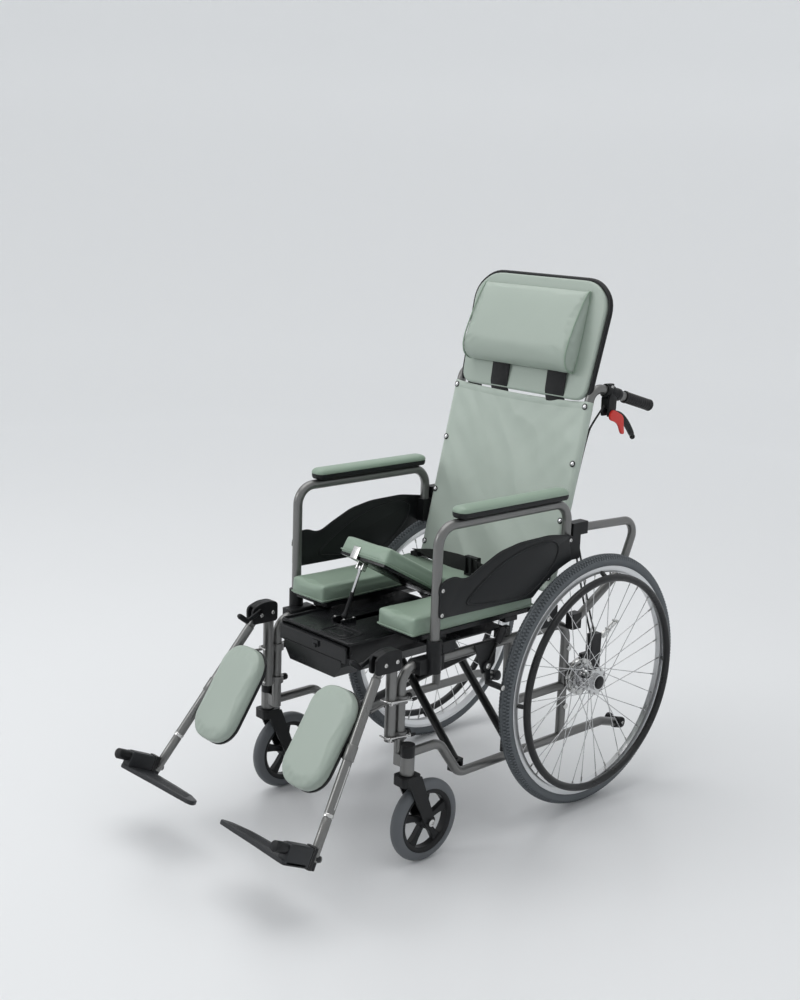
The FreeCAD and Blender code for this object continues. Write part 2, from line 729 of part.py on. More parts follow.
def front_socket():
    low = SOCKET_LOW_Z
    body = block((FRAME_X, ARM_X), (SOCKET_FRONT_Y, SOCKET_REAR_Y), (low, SEAT_RAIL_Z + SOCKET_R))
    rail_wrap = pin_y(FRAME_X, (SOCKET_FRONT_Y, SOCKET_REAR_Y), SEAT_RAIL_Z, SOCKET_R)
    cup = pin_z(ARM_X, ARM_FRONT_Y, (low, SOCKET_TOP_Z), SOCKET_R)
    solid = fuse([body, rail_wrap, cup])
    main_path = frame_paths()[0]
    solid = solid.cut(bent_bar(main_path, FRAME_TUBE_R + SEAT_GAP, FRAME_BEND))
    floor_z = ARM_FRONT_FOOT_Z - CLEAR_GAP
    return solid.cut(pin_z(ARM_X, ARM_FRONT_Y, (floor_z, SOCKET_TOP_Z), ARM_TUBE_R + CLEAR_GAP))


def rear_socket():
    outer_x = WHEEL_X - TYRE_HALF_WIDTH - SEAT_GAP
    y_range = (ARM_REAR_Y - REAR_SOCKET_HALF, LOOP_TOP_FRONT[0])
    body = block((REAR_SOCKET_INNER_X, outer_x), y_range, (REAR_SOCKET_LOW_Z, REAR_SOCKET_TOP_Z))
    ear_top = LOOP_TOP_FRONT[1] + LOOP_TUBE_R + SOCKET_R - ARM_TUBE_R
    ear_front = ARM_REAR_Y + ARM_TUBE_R + CLEAR_GAP + SEAT_GAP
    ear = block((REAR_SOCKET_INNER_X, outer_x), (ear_front, LOOP_CLAMP_REAR_Y), (REAR_SOCKET_TOP_Z, ear_top))
    solid = fuse([body, ear])
    floor_z = ARM_REAR_FOOT_Z - CLEAR_GAP
    solid = solid.cut(pin_z(ARM_X, ARM_REAR_Y, (floor_z, REAR_SOCKET_TOP_Z), ARM_TUBE_R + CLEAR_GAP))
    start = at(LOOP_X, LOOP_TOP_FRONT[0] - SEAT_GAP, LOOP_TOP_FRONT[1])
    end = at(LOOP_X, LOOP_TOP_REAR[0], LOOP_TOP_REAR[1])
    return solid.cut(bar(start, end, LOOP_TUBE_R + SEAT_GAP))


def recline_hinge():
    inner = POST_X - POST_R - CLEAR_GAP - HINGE_CHEEK
    outer = POST_X + POST_R + CLEAR_GAP + HINGE_CHEEK
    y_range = (HINGE_FRONT_Y, HINGE_REAR_Y)
    body = block((inner, outer), y_range, (SEAT_RAIL_Z, HINGE_TOP_Z))
    slot_low = BACK_PIVOT_Z - POST_R - 2.0 * CLEAR_GAP
    slot = block((inner + HINGE_CHEEK, outer - HINGE_CHEEK), y_range, (slot_low, HINGE_TOP_Z))
    rail = bent_bar(frame_paths()[0], FRAME_TUBE_R + SEAT_GAP, FRAME_BEND)
    solid = body.cut(slot).cut(rail)
    pin = pin_x((inner, outer), BACK_PIVOT_Y, BACK_PIVOT_Z, HINGE_PIN_R)
    return fuse([max(solid.Solids, key=lambda piece: piece.Volume), pin])


def loop_clamp():
    inner = POST_X + POST_R + HINGE_CHEEK
    outer = LOOP_X + LOOP_TUBE_R
    body = block((inner, outer), (LOOP_CLAMP_FRONT_Y, LOOP_CLAMP_REAR_Y), (LOOP_CLAMP_LOW_Z, LOOP_CLAMP_TOP_Z))
    start = at(LOOP_X, LOOP_LOW_FRONT[0], LOOP_LOW_FRONT[1])
    end = at(LOOP_X, LOOP_LOW_REAR[0], LOOP_LOW_REAR[1])
    body = body.cut(bent_bar(frame_paths()[0], FRAME_TUBE_R + SEAT_GAP, FRAME_BEND))
    return max(body.cut(bar(start, end, LOOP_TUBE_R + SEAT_GAP)).Solids, key=lambda piece: piece.Volume)


def build_castings():
    save("frame_castings", both_sides([front_socket(), rear_socket(), recline_hinge(), loop_clamp()]))


def frame_caps():
    cap = pin_z(CASTER_X, STEM_Y, (HOUSING_TOP_Z, STEM_CAP_TOP_Z), HOUSING_R)
    tail = at(FRAME_X, LOW_TAIL_Y, LOW_TAIL_Z)
    run = (tail - at(FRAME_X, LOW_TAIL_BEND_Y, LOW_RAIL_Z)).normalize()
    plug = bar(tail, tail + run * PLUG_LENGTH, PLUG_R)
    return both_sides([cap, plug])


def axle_bolt():
    head_x = FRAME_X - AXLE_PLATE_HALF
    shank = pin_x((head_x, WHEEL_X + HUB_HALF_WIDTH - CLEAR_GAP), 0.0, TYRE_R, AXLE_R)
    head = pin_x((head_x - BOLT_HEAD_LENGTH, head_x), 0.0, TYRE_R, AXLE_R + BOLT_HEAD_LENGTH)
    return fuse([shank, head])


def upright_bolts():
    outer = FRAME_X + FRAME_TUBE_R
    return [pin_x((outer, outer + BOLT_HEAD_LENGTH), REAR_POST_Y, height, BOLT_HEAD_R)
            for height in UPRIGHT_BOLT_HEIGHTS]


def build_fixings():
    save("frame_caps", frame_caps())
    brace_bolt = pin_y(0.0, brace_bolt_span(), brace_middle_z(), BRACE_BOLT_R)
    save("frame_bolts", Part.makeCompound([both_sides([axle_bolt()] + upright_bolts()), brace_bolt]))


# Casters


def caster_fork():
    crown = block((CASTER_X - CROWN_HALF_WIDTH, CASTER_X + CROWN_HALF_WIDTH), (CROWN_FRONT_Y, CROWN_REAR_Y),
                  (CROWN_LOW_Z, CROWN_TOP_Z))
    crown = rounded(crown, CROWN_HALF_WIDTH / 2.0, VZ)
    stem = pin_z(CASTER_X, STEM_Y, (CROWN_TOP_Z, HOUSING_TOP_Z - CLEAR_GAP), STEM_R)
    leg_top = CROWN_TOP_Z - AXLE_NUT_LENGTH
    outline = ((CROWN_FRONT_Y + AXLE_NUT_R, leg_top), (CROWN_REAR_Y, leg_top),
               (CASTER_AXLE_Y + FORK_BOSS_R, CASTER_R), (CASTER_AXLE_Y - FORK_BOSS_R, CASTER_R))
    pieces = [crown, stem]
    for side in (-1.0, 1.0):
        face = CASTER_X + side * CROWN_HALF_WIDTH
        x_range = sorted((face, face - side * FORK_LEG_THICK))
        pieces.append(plate_yz(outline, x_range))
        pieces.append(pin_x(x_range, CASTER_AXLE_Y, CASTER_R, FORK_BOSS_R))
        nut = sorted((face, face + side * AXLE_NUT_LENGTH))
        pieces.append(pin_x(nut, CASTER_AXLE_Y, CASTER_R, AXLE_NUT_R))
    span = (CASTER_X - CROWN_HALF_WIDTH, CASTER_X + CROWN_HALF_WIDTH)
    pieces.append(pin_x(span, CASTER_AXLE_Y, CASTER_R, CASTER_AXLE_R))
    return fuse(pieces)


def caster_wheel():
    span = (CASTER_X - CASTER_HALF_WIDTH, CASTER_X + CASTER_HALF_WIDTH)
    outer = pin_x(span, CASTER_AXLE_Y, CASTER_R, CASTER_R)
    rims = [edge for edge in outer.Edges if edge.Length > 2.0 * math.pi * CASTER_TYRE_INNER_R]
    outer = outer.makeFillet(CASTER_TREAD_ROUND, rims)
    seat = pin_x(span, CASTER_AXLE_Y, CASTER_R, CASTER_TYRE_INNER_R)
    tread = outer.cut(seat)
    felloe = seat.cut(pin_x(span, CASTER_AXLE_Y, CASTER_R, CASTER_FELLOE_R))
    hub_span = (CASTER_X - CASTER_HUB_HALF, CASTER_X + CASTER_HUB_HALF)
    core = [felloe, pin_x(hub_span, CASTER_AXLE_Y, CASTER_R, CASTER_HUB_R)]
    reach = (CASTER_FELLOE_R + CASTER_TYRE_INNER_R) / 2.0
    for index in range(CASTER_SPOKES):
        arm_x = (CASTER_X - CASTER_SPOKE_HALF, CASTER_X + CASTER_SPOKE_HALF)
        arm_y = (CASTER_AXLE_Y - CASTER_SPOKE_HALF, CASTER_AXLE_Y + CASTER_SPOKE_HALF)
        arm = block(arm_x, arm_y, (CASTER_R, CASTER_R + reach))
        arm.rotate(at(CASTER_X, CASTER_AXLE_Y, CASTER_R), VX, FULL_TURN * index / CASTER_SPOKES)
        core.append(arm)
    bore = pin_x(hub_span, CASTER_AXLE_Y, CASTER_R, CASTER_AXLE_R + RUN_GAP)
    return Part.makeCompound([tread, fuse(core).cut(bore)])


def build_casters():
    save_sides("caster_fork", caster_fork())
    save_sides("caster_wheel", caster_wheel())


# Armrests


def armrest_tube():
    points = [at(ARM_X, ARM_FRONT_Y, ARM_FRONT_FOOT_Z), at(ARM_X, ARM_FRONT_Y, ARM_TOP_Z),
              at(ARM_X, ARM_REAR_Y, ARM_TOP_Z), at(ARM_X, ARM_REAR_Y, ARM_REAR_FOOT_Z)]
    return bent_bar(points, ARM_TUBE_R, ARM_BEND).cut(bent_bar(points, ARM_TUBE_R - ARM_WALL, ARM_BEND))


def armrest_pad():
    low = ARM_TOP_Z + ARM_TUBE_R + SEAT_GAP
    length = (PAD_FRONT_Y, PAD_REAR_Y)
    half = PAD_HALF_WIDTH - PAD_BASE_THICK
    top = low + PAD_BASE_THICK
    base = block((ARM_X - half, ARM_X + half), (length[0] + PAD_ROUND, length[1] - PAD_ROUND), (low, top))
    pad = block((ARM_X - PAD_HALF_WIDTH, ARM_X + PAD_HALF_WIDTH), length, (top, top + PAD_THICK))
    return fuse([base, rounded(rounded(pad, PAD_ROUND, VZ), PAD_TOP_ROUND, VY)])


def skirt_guard():
    x_range = (GUARD_INNER_X, GUARD_INNER_X + GUARD_THICK)
    panel = plate_yz([(y, GUARD_LOW_Z + rise) for y, rise in GUARD_OUTLINE], x_range)
    panel = panel.cut(pin_x((0.0, HANDRIM_X), 0.0, TYRE_R, TYRE_R + GUARD_WHEEL_GAP))
    head_x = (x_range[1], x_range[1] + GUARD_SCREW_HEAD)
    heads = [pin_x(head_x, y, GUARD_LOW_Z + rise, GUARD_SCREW_R) for y, rise in GUARD_SCREWS]
    return fuse([panel] + heads)


def build_armrests():
    save_sides("armrest_tube", armrest_tube())
    save_sides("armrest_pad", armrest_pad())
    save_sides("skirt_guard", skirt_guard())


# Backrest with push handles


def post_path():
    corner = back_point(POST_X, 0.0, POST_CORNER)
    return [back_point(POST_X, 0.0, 0.0), corner, at(HANDLE_X, HANDLE_END_Y, HANDLE_END_Z)]


def back_post():
    path = post_path()
    outer = bent_bar(path, POST_R, HANDLE_BEND)
    eye = bar(path[0] - VX * POST_R, path[0] + VX * POST_R, POST_R)
    above = path[0] + (path[1] - path[0]).normalize() * (2.0 * POST_R)
    bore = bent_bar([above] + path[1:], POST_R - POST_WALL, HANDLE_BEND)
    pin_hole = bar(path[0] - VX * POST_R, path[0] + VX * POST_R, HINGE_PIN_R + RUN_GAP)
    return outer.fuse(eye).cut(bore).cut(pin_hole)


def grip():
    corner, end = post_path()[1:]
    run = (end - corner).normalize()
    sleeve = bar(end - run * GRIP_LENGTH, end + run * POST_R / 2.0, GRIP_R)
    return sleeve.cut(bar(end - run * GRIP_LENGTH, end, POST_R + SEAT_GAP))


def head_front():
    return POST_R + SEAT_GAP + SHEET_THICK


def back_sheet():
    front = POST_R + SEAT_GAP
    sheet = Part.makeBox(2.0 * SHEET_HALF_WIDTH, SHEET_THICK, SHEET_TOP - SHEET_LOW,
                         FreeCAD.Vector(-SHEET_HALF_WIDTH, -front - SHEET_THICK, SHEET_LOW))
    return lean_back(sheet)


def back_rivets():
    front = head_front()
    heads = []
    for height in RIVET_HEIGHTS:
        seat = back_point(POST_X, -front, height)
        heads.append(bar(seat, back_point(POST_X, -front - RIVET_HEAD, height), RIVET_R))
    return both_sides(heads)


def headrest_panel():
    foot_half = POST_X - POST_R - CLEAR_GAP
    right = ((foot_half, HEAD_LOW), (foot_half, HEAD_NOTCH), (HEAD_LOW_HALF, HEAD_NOTCH),
             (HEAD_SHOULDER_HALF, HEAD_SHOULDER), (HEAD_TOP_HALF, HEAD_TOP))
    outline = right + tuple((-x, z) for x, z in reversed(right))
    points = [FreeCAD.Vector(x, -head_front(), z) for x, z in outline]
    face = Part.Face(Part.makePolygon(points + [points[0]]))
    panel = face.extrude(FreeCAD.Vector(0.0, HEAD_THICK, 0.0))
    corners = [edge for edge in edges_along(panel, VY) if edge.CenterOfMass.z > HEAD_NOTCH + CLEAR_GAP]
    return lean_back(panel.makeFillet(HEAD_ROUND, corners))


def head_pillow():
    back = -head_front() - SEAT_GAP
    points = [FreeCAD.Vector(-PILLOW_HALF_WIDTH, back - deep, along) for deep, along in PILLOW_OUTLINE]
    face = Part.Face(Part.makePolygon(points + [points[0]]))
    return lean_back(face.extrude(FreeCAD.Vector(2.0 * PILLOW_HALF_WIDTH, 0.0, 0.0)))


def lever_housing():
    corner, end = post_path()[1:]
    run = (end - corner).normalize()
    centre = corner + run * ((LEVER_HOUSING_Y + AXLE_Y - corner.y) / run.y)
    half = run * LEVER_HOUSING_HALF_LENGTH
    collar = bar(centre - half, centre + half, LEVER_COLLAR_R)
    y_range = (LEVER_HOUSING_Y - LEVER_HOUSING_HALF_LENGTH, LEVER_HOUSING_Y + LEVER_HOUSING_HALF_LENGTH)
    x_range = (LEVER_X - LEVER_HOUSING_HALF, LEVER_X + LEVER_HOUSING_HALF)
    body = block(x_range, y_range, (LEVER_HOUSING_LOW_Z, centre.z))
    solid = fuse([collar, body]).cut(bar(corner, end, POST_R + SEAT_GAP))
    slot_top = LEVER_PIVOT_Z + LEVER_EYE_R + 2.0 * CLEAR_GAP
    slot_x = (LEVER_X - LEVER_SLOT_HALF, LEVER_X + LEVER_SLOT_HALF)
    slot = block(slot_x, y_range, (LEVER_HOUSING_LOW_Z, slot_top))
    lever_pin = pin_x(x_range, LEVER_PIVOT_Y, LEVER_PIVOT_Z, LEVER_PIN_R)
    trigger_end = TRIGGER_X + TRIGGER_HALF_THICK
    trigger_pin = pin_x((x_range[1], trigger_end), TRIGGER_PIVOT_Y, TRIGGER_PIVOT_Z, LEVER_PIN_R)
    return fuse([solid.cut(slot), lever_pin, trigger_pin])


def upper_cable(housing):
    meet = back_point(POST_X, CABLE_CLIP_DEPTH, UPPER_CABLE_MEET)
    points = [at(LEVER_X, UPPER_CABLE_START[0], UPPER_CABLE_START[1] + LEVER_HOUSING_HALF),
              at(LEVER_X, UPPER_CABLE_CORNER[0], UPPER_CABLE_CORNER[1]),
              meet, back_point(POST_X, CABLE_CLIP_DEPTH, UPPER_CABLE_END)]
    return bent_bar(points, CABLE_R, CABLE_BEND).cut(housing)


def brake_lever():
    x_range = (LEVER_X - LEVER_HALF_THICK, LEVER_X + LEVER_HALF_THICK)
    blade = plate_yz(LEVER_OUTLINE, x_range)
    eye = pin_x(x_range, LEVER_PIVOT_Y, LEVER_PIVOT_Z, LEVER_EYE_R)
    return fuse([blade, eye]).cut(pin_x(x_range, LEVER_PIVOT_Y, LEVER_PIVOT_Z, LEVER_PIN_R + RUN_GAP))


def lock_trigger():
    x_range = (TRIGGER_X - TRIGGER_HALF_THICK, TRIGGER_X + TRIGGER_HALF_THICK)
    blade = plate_yz(TRIGGER_OUTLINE, x_range)
    eye = pin_x(x_range, TRIGGER_PIVOT_Y, TRIGGER_PIVOT_Z, TRIGGER_EYE_R)
    return fuse([blade, eye]).cut(pin_x(x_range, TRIGGER_PIVOT_Y, TRIGGER_PIVOT_Z, LEVER_PIN_R + RUN_GAP))


def build_backrest():
    save("back_posts", both_sides([back_post()]))
    save("push_grips", both_sides([grip()]))
    save("back_sheet", back_sheet())
    save("back_rivets", back_rivets())
    save("headrest_panel", headrest_panel())
    save("head_pillow", head_pillow())
    housing = lever_housing()
    save("lever_housings", both_sides([housing, upper_cable(housing)]))
    save_sides("brake_lever", brake_lever())
    save_sides("lock_trigger", lock_trigger())


# Brakes on the wheels


def hub_brake():
    plate = pin_x((BRAKE_PLATE_IN_X, BRAKE_PLATE_OUT_X), 0.0, TYRE_R, BRAKE_PLATE_R)
    box = block((BRAKE_BOX_IN_X, BRAKE_PLATE_OUT_X), (BRAKE_BOX_FRONT_Y, BRAKE_BOX_REAR_Y),
                (BRAKE_BOX_LOW_Z, BRAKE_BOX_TOP_Z))
    arm_top = BRAKE_BOX_LOW_Z + BRAKE_PLATE_R / 2.0
    arm = block((BRAKE_PLATE_IN_X, BRAKE_PLATE_OUT_X), (0.0, BRAKE_BOX_REAR_Y), (TYRE_R, arm_top))
    return fuse([plate, box, arm]).cut(pin_x((0.0, WHEEL_X), 0.0, TYRE_R, AXLE_R))


def lower_cables():
    runs = []
    for index in range(2):
        shift = LOWER_CABLE_STEP * index
        points = [at(LOWER_CABLE_X, y + shift, z) for y, z in LOWER_CABLE_POINTS]
        points.append(at(LOWER_CABLE_X, LOWER_CABLE_END_Y + shift, BRAKE_BOX_TOP_Z + SEAT_GAP))
        runs.append(bent_bar(points, CABLE_R, CABLE_BEND))
    return runs


def lock_bracket():
    x_range = (LOCK_PLATE_X, LOCK_PLATE_X + LOCK_PLATE_THICK)
    plate = plate_yz(LOCK_PLATE_OUTLINE, x_range)
    pin_end = x_range[1] + LOCK_LEVER_THICK + CLEAR_GAP
    pin = pin_x((x_range[0], pin_end), LOCK_PIVOT_Y, LOCK_PIVOT_Z, LOCK_PIN_R)
    return fuse([plate, pin])


def lock_lever():
    start_x = LOCK_PLATE_X + LOCK_PLATE_THICK + CLEAR_GAP
    x_range = (start_x, start_x + LOCK_LEVER_THICK)
    eye = pin_x(x_range, LOCK_PIVOT_Y, LOCK_PIVOT_Z, LOCK_LEVER_EYE_R)
    half = LOCK_ARM_HALF
    shoe_arm = plate_yz(((LOCK_PIVOT_Y - half, LOCK_PIVOT_Z), (LOCK_SHOE_Y - half, LOCK_SHOE_Z),
                         (LOCK_SHOE_Y + half, LOCK_SHOE_Z), (LOCK_PIVOT_Y + half, LOCK_PIVOT_Z)), x_range)
    shoe = pin_x((start_x, LOCK_SHOE_END_X), LOCK_SHOE_Y, LOCK_SHOE_Z, LOCK_SHOE_R)
    middle_x = (x_range[0] + x_range[1]) / 2.0
    pivot = at(middle_x, LOCK_PIVOT_Y, LOCK_PIVOT_Z)
    end = at(middle_x, LOCK_GRIP_Y, LOCK_GRIP_Z)
    shaft = bar(pivot, end, LOCK_LEVER_THICK / 2.0)
    knob = bar(pivot + (end - pivot) * LOCK_GRIP_START, end, LOCK_GRIP_R)
    knob = knob.cut(block((0.0, start_x - CLEAR_GAP), (LOCK_PIVOT_Y, 0.0), (0.0, ARM_TOP_Z)))
    lever = fuse([eye, shoe_arm, shoe, shaft, knob])
    return lever.cut(pin_x((0.0, WHEEL_X), LOCK_PIVOT_Y, LOCK_PIVOT_Z, LOCK_PIN_R + RUN_GAP))


def build_brakes():
    save("hub_brakes", both_sides([hub_brake()]))
    save("brake_cables", both_sides(lower_cables()))
    save("wheel_lock_brackets", both_sides([lock_bracket()]))
    save_sides("lock_lever", lock_lever())


# Seat, flap and commode


def seat_outline(inset):
    outer = SEAT_HALF_WIDTH - inset
    inner = SEAT_INNER_X + inset
    front = SEAT_FRONT_Y + inset
    rear = SEAT_REAR_Y - inset
    notch = SEAT_BACK_PAD_Y + inset
    return ((-outer, front), (-inner, front), (-inner, notch), (inner, notch), (inner, front), (outer, front),
            (outer, rear), (-outer, rear))


def seat_cushion():
    low = SEAT_TOP_Z - SEAT_PAD_THICK
    pad = plate_xy(seat_outline(0.0), (low, SEAT_TOP_Z))
    return rounded(pad, SEAT_ROUND, VZ)


def flap_lugs():
    low = SEAT_TOP_Z - SEAT_PAD_THICK - BOARD_THICK
    lugs = []
    for side in (-1.0, 1.0):
        x_range = sorted((side * FLAP_LUG_IN, side * FLAP_LUG_OUT))
        lugs.append(block(x_range, (FLAP_PIN_Y, SEAT_BACK_PAD_Y + BOARD_INSET), (low, low + BOARD_THICK)))
        lugs.append(pin_x(x_range, FLAP_PIN_Y, FLAP_PIN_Z, FLAP_EYE_R))
    return lugs


def seat_board():
    top = SEAT_TOP_Z - SEAT_PAD_THICK - SEAT_GAP
    low = top - BOARD_THICK
    pieces = [plate_xy(seat_outline(BOARD_INSET), (low, top))]
    for side in (-1.0, 1.0):
        for front in (SPACER_FRONT_Y, SPACER_REAR_Y - SPACER_LENGTH - DECK_THICK):
            x_range = sorted((side * SPACER_INNER_X, side * SPACER_OUTER_X))
            pieces.append(block(x_range, (front, front + SPACER_LENGTH), (DECK_TOP_Z + SEAT_GAP, low)))
    pin = pin_x((-FLAP_LUG_OUT, FLAP_LUG_OUT), FLAP_PIN_Y, FLAP_PIN_Z, FLAP_PIN_R)
    return fuse(pieces + flap_lugs() + [pin])


def flap_frame(shape):
    shape.rotate(at(0.0, FLAP_PIN_Y, FLAP_PIN_Z), VX, -FLAP_RAISE_DEG)
    return shape


def seat_flap():
    low = SEAT_TOP_Z - SEAT_PAD_THICK
    half = FLAP_HALF_WIDTH
    pad = block((-half, half), (FLAP_FRONT_Y, FLAP_REAR_Y), (low, SEAT_TOP_Z))
    pad = rounded(pad, SEAT_ROUND, VZ)
    eye_span = (-FLAP_EYE_HALF, FLAP_EYE_HALF)
    eye = pin_x(eye_span, FLAP_PIN_Y, FLAP_PIN_Z, FLAP_EYE_R)
    leaf_z = (FLAP_PIN_Z - FLAP_PIN_R, FLAP_PIN_Z + FLAP_PIN_R)
    leaf = block(eye_span, (FLAP_REAR_Y - FLAP_EYE_X, FLAP_PIN_Y), leaf_z)
    ear_low = low - PROP_DROP
    ear_y = (PROP_Y - PROP_EYE_R, PROP_Y + PROP_EYE_R)
    ears = []
    for side in (-1.0, 1.0):
        gap = side * PROP_EAR_HALF_GAP
        x_range = sorted((PROP_X + gap, PROP_X + gap + side * PROP_EAR_THICK))
        ears.append(block(x_range, ear_y, (ear_low, low + PAD_BASE_THICK)))
        ears.append(pin_x(x_range, PROP_Y, ear_low, PROP_EYE_R))
    reach = PROP_EAR_HALF_GAP + PROP_EAR_THICK
    pin = pin_x((PROP_X - reach, PROP_X + reach), PROP_Y, ear_low, PROP_PIN_R)
    hole = pin_x((-FLAP_LUG_OUT, FLAP_LUG_OUT), FLAP_PIN_Y, FLAP_PIN_Z, FLAP_PIN_R + RUN_GAP)
    return flap_frame(fuse([pad, eye, leaf, pin] + ears).cut(hole))


def prop_top():
    marker = Part.Vertex(at(PROP_X, PROP_Y, SEAT_TOP_Z - SEAT_PAD_THICK - PROP_DROP))
    return flap_frame(marker).Point


def flap_prop():
    top = prop_top()
    lean = math.radians(PROP_LEAN_DEG)
    run = FreeCAD.Vector(0.0, -math.sin(lean), -math.cos(lean))
    eye_half = PROP_EAR_HALF_GAP - CLEAR_GAP
    eye = bar(top - VX * eye_half, top + VX * eye_half, PROP_EYE_R)
    rod = bar(top, top + run * PROP_LENGTH, PROP_R)
    sleeve = bar(top + run * PROP_SLEEVE_START, top + run * PROP_LENGTH, PROP_SLEEVE_R)
    hole = bar(top - VX * eye_half, top + VX * eye_half, PROP_PIN_R + RUN_GAP)
    return fuse([eye, rod, sleeve]).cut(hole)


def commode_deck():
    low = DECK_TOP_Z - DECK_THICK
    wing = block((-DECK_HALF_WIDTH, DECK_HALF_WIDTH), (DECK_WING_FRONT_Y, DECK_REAR_Y), (low, DECK_TOP_Z))
    nose = block((-DECK_FRONT_HALF, DECK_FRONT_HALF), (DECK_FRONT_Y, DECK_WING_FRONT_Y), (low, DECK_TOP_Z))
    pieces = [wing, nose]
    rail_top = SEAT_RAIL_Z + FRAME_TUBE_R + SEAT_GAP
    for side in (-1.0, 1.0):
        wall = sorted((side * RUNNER_IN_X, side * DECK_FRONT_HALF))
        lip = sorted((side * RUNNER_LIP_IN_X, side * DECK_FRONT_HALF))
        foot = sorted((side * DECK_FOOT_IN_X, side * DECK_HALF_WIDTH))
        runner_y = (DECK_FRONT_Y, DRAWER_REAR_Y)
        pieces.append(block(wall, runner_y, (RUNNER_LOW_Z, low)))
        pieces.append(block(lip, runner_y, (RUNNER_LOW_Z, RUNNER_LOW_Z + RUNNER_LIP_THICK)))
        for front in (SPACER_FRONT_Y + SOCKET_R, SPACER_REAR_Y - 2.0 * SPACER_LENGTH):
            pieces.append(block(foot, (front, front + SPACER_LENGTH), (rail_top, low)))
        cheek = sorted((PROP_X + side * PROP_SLOT_HALF, PROP_X + side * PROP_FOOT_HALF))
        cheek_z = (DECK_TOP_Z, DECK_TOP_Z + PROP_FOOT_HEIGHT)
        pieces.append(block(cheek, (PROP_SLOT_FRONT_Y, PROP_FOOT_REAR_Y), cheek_z))
    slot_x = (PROP_X - PROP_SLOT_HALF, PROP_X + PROP_SLOT_HALF)
    return fuse(pieces).cut(block(slot_x, (PROP_SLOT_FRONT_Y, PROP_SLOT_REAR_Y), (low, DECK_TOP_Z)))


def drawer_section(inset):
    low = DRAWER_LOW_Z + inset
    taper = DRAWER_TAPER_Z + inset
    half_top = DRAWER_HALF_TOP - inset
    half_low = DRAWER_HALF_LOW - inset
    right = ((half_low, low), (half_top, taper), (half_top, DRAWER_TOP_Z))
    return right + tuple((-x, z) for x, z in reversed(right))


def drawer_prism(inset, y_range):
    points = [at(x, y_range[0], z) for x, z in drawer_section(inset)]
    face = Part.Face(Part.makePolygon(points + [points[0]]))
    return face.extrude(FreeCAD.Vector(0.0, y_range[1] - y_range[0], 0.0))


def commode_drawer():
    body_front = DRAWER_FRONT_Y + DRAWER_FACE_THICK
    outer = drawer_prism(0.0, (body_front, DRAWER_REAR_Y))
    inner = drawer_prism(DRAWER_WALL, (body_front + DRAWER_WALL, DRAWER_REAR_Y - DRAWER_WALL))
    flange_low = RUNNER_LOW_Z + RUNNER_LIP_THICK + SLIDE_GAP
    flange_top = flange_low + DRAWER_FLANGE_THICK
    flange_half = RUNNER_IN_X - SLIDE_GAP
    flanges = []
    for side in (-1.0, 1.0):
        x_range = sorted((side * (DRAWER_HALF_TOP - DRAWER_WALL), side * flange_half))
        flanges.append(block(x_range, (body_front, DRAWER_REAR_Y), (flange_low, flange_top)))
    face_x = (-DRAWER_FLANGE_HALF, DRAWER_FLANGE_HALF)
    face = block(face_x, (DRAWER_FRONT_Y, body_front), (DRAWER_FACE_LOW_Z, DRAWER_TOP_Z))
    skirt = drawer_prism(0.0, (DRAWER_FRONT_Y, body_front))
    return fuse([outer.cut(inner), face, skirt] + flanges)


def lap_belt():
    middle = at(0.0, BELT_REAR_Y - BELT_BOW, BELT_MID_Z - BELT_HALF_WIDTH)
    ends = [at(side * BELT_END_X, BELT_REAR_Y, BELT_MID_Z - BELT_HALF_WIDTH) for side in (-1.0, 1.0)]
    outer_arc = Part.Arc(ends[0], middle, ends[1]).toShape()
    shift = VY * BELT_THICK
    inner_arc = Part.Arc(ends[0] + shift, middle + shift, ends[1] + shift).toShape()
    sides = [Part.LineSegment(end, end + shift).toShape() for end in ends]
    face = Part.Face(Part.Wire(Part.sortEdges([outer_arc, inner_arc] + sides)[0]))
    band = face.extrude(VZ * (2.0 * BELT_HALF_WIDTH))
    pieces = [band]
    seat_top = SEAT_TOP_Z + SEAT_GAP
    y_range = (BELT_REAR_Y - BELT_THICK, BELT_REAR_Y + BELT_THICK)
    for side in (-1.0, 1.0):
        x_range = sorted((side * (BELT_END_X - 2.0 * BELT_HALF_WIDTH), side * BELT_END_X))
        pieces.append(block(x_range, y_range, (seat_top, BELT_MID_Z)))
    return fuse(pieces)


def build_seat():
    save("seat_cushion", seat_cushion())
    save("seat_board", seat_board())
    save("seat_flap", seat_flap())
    save("flap_prop", flap_prop())
    save("commode_deck", commode_deck())
    save("commode_drawer", commode_drawer())
    save("lap_belt", lap_belt())


# Legrests and footplates


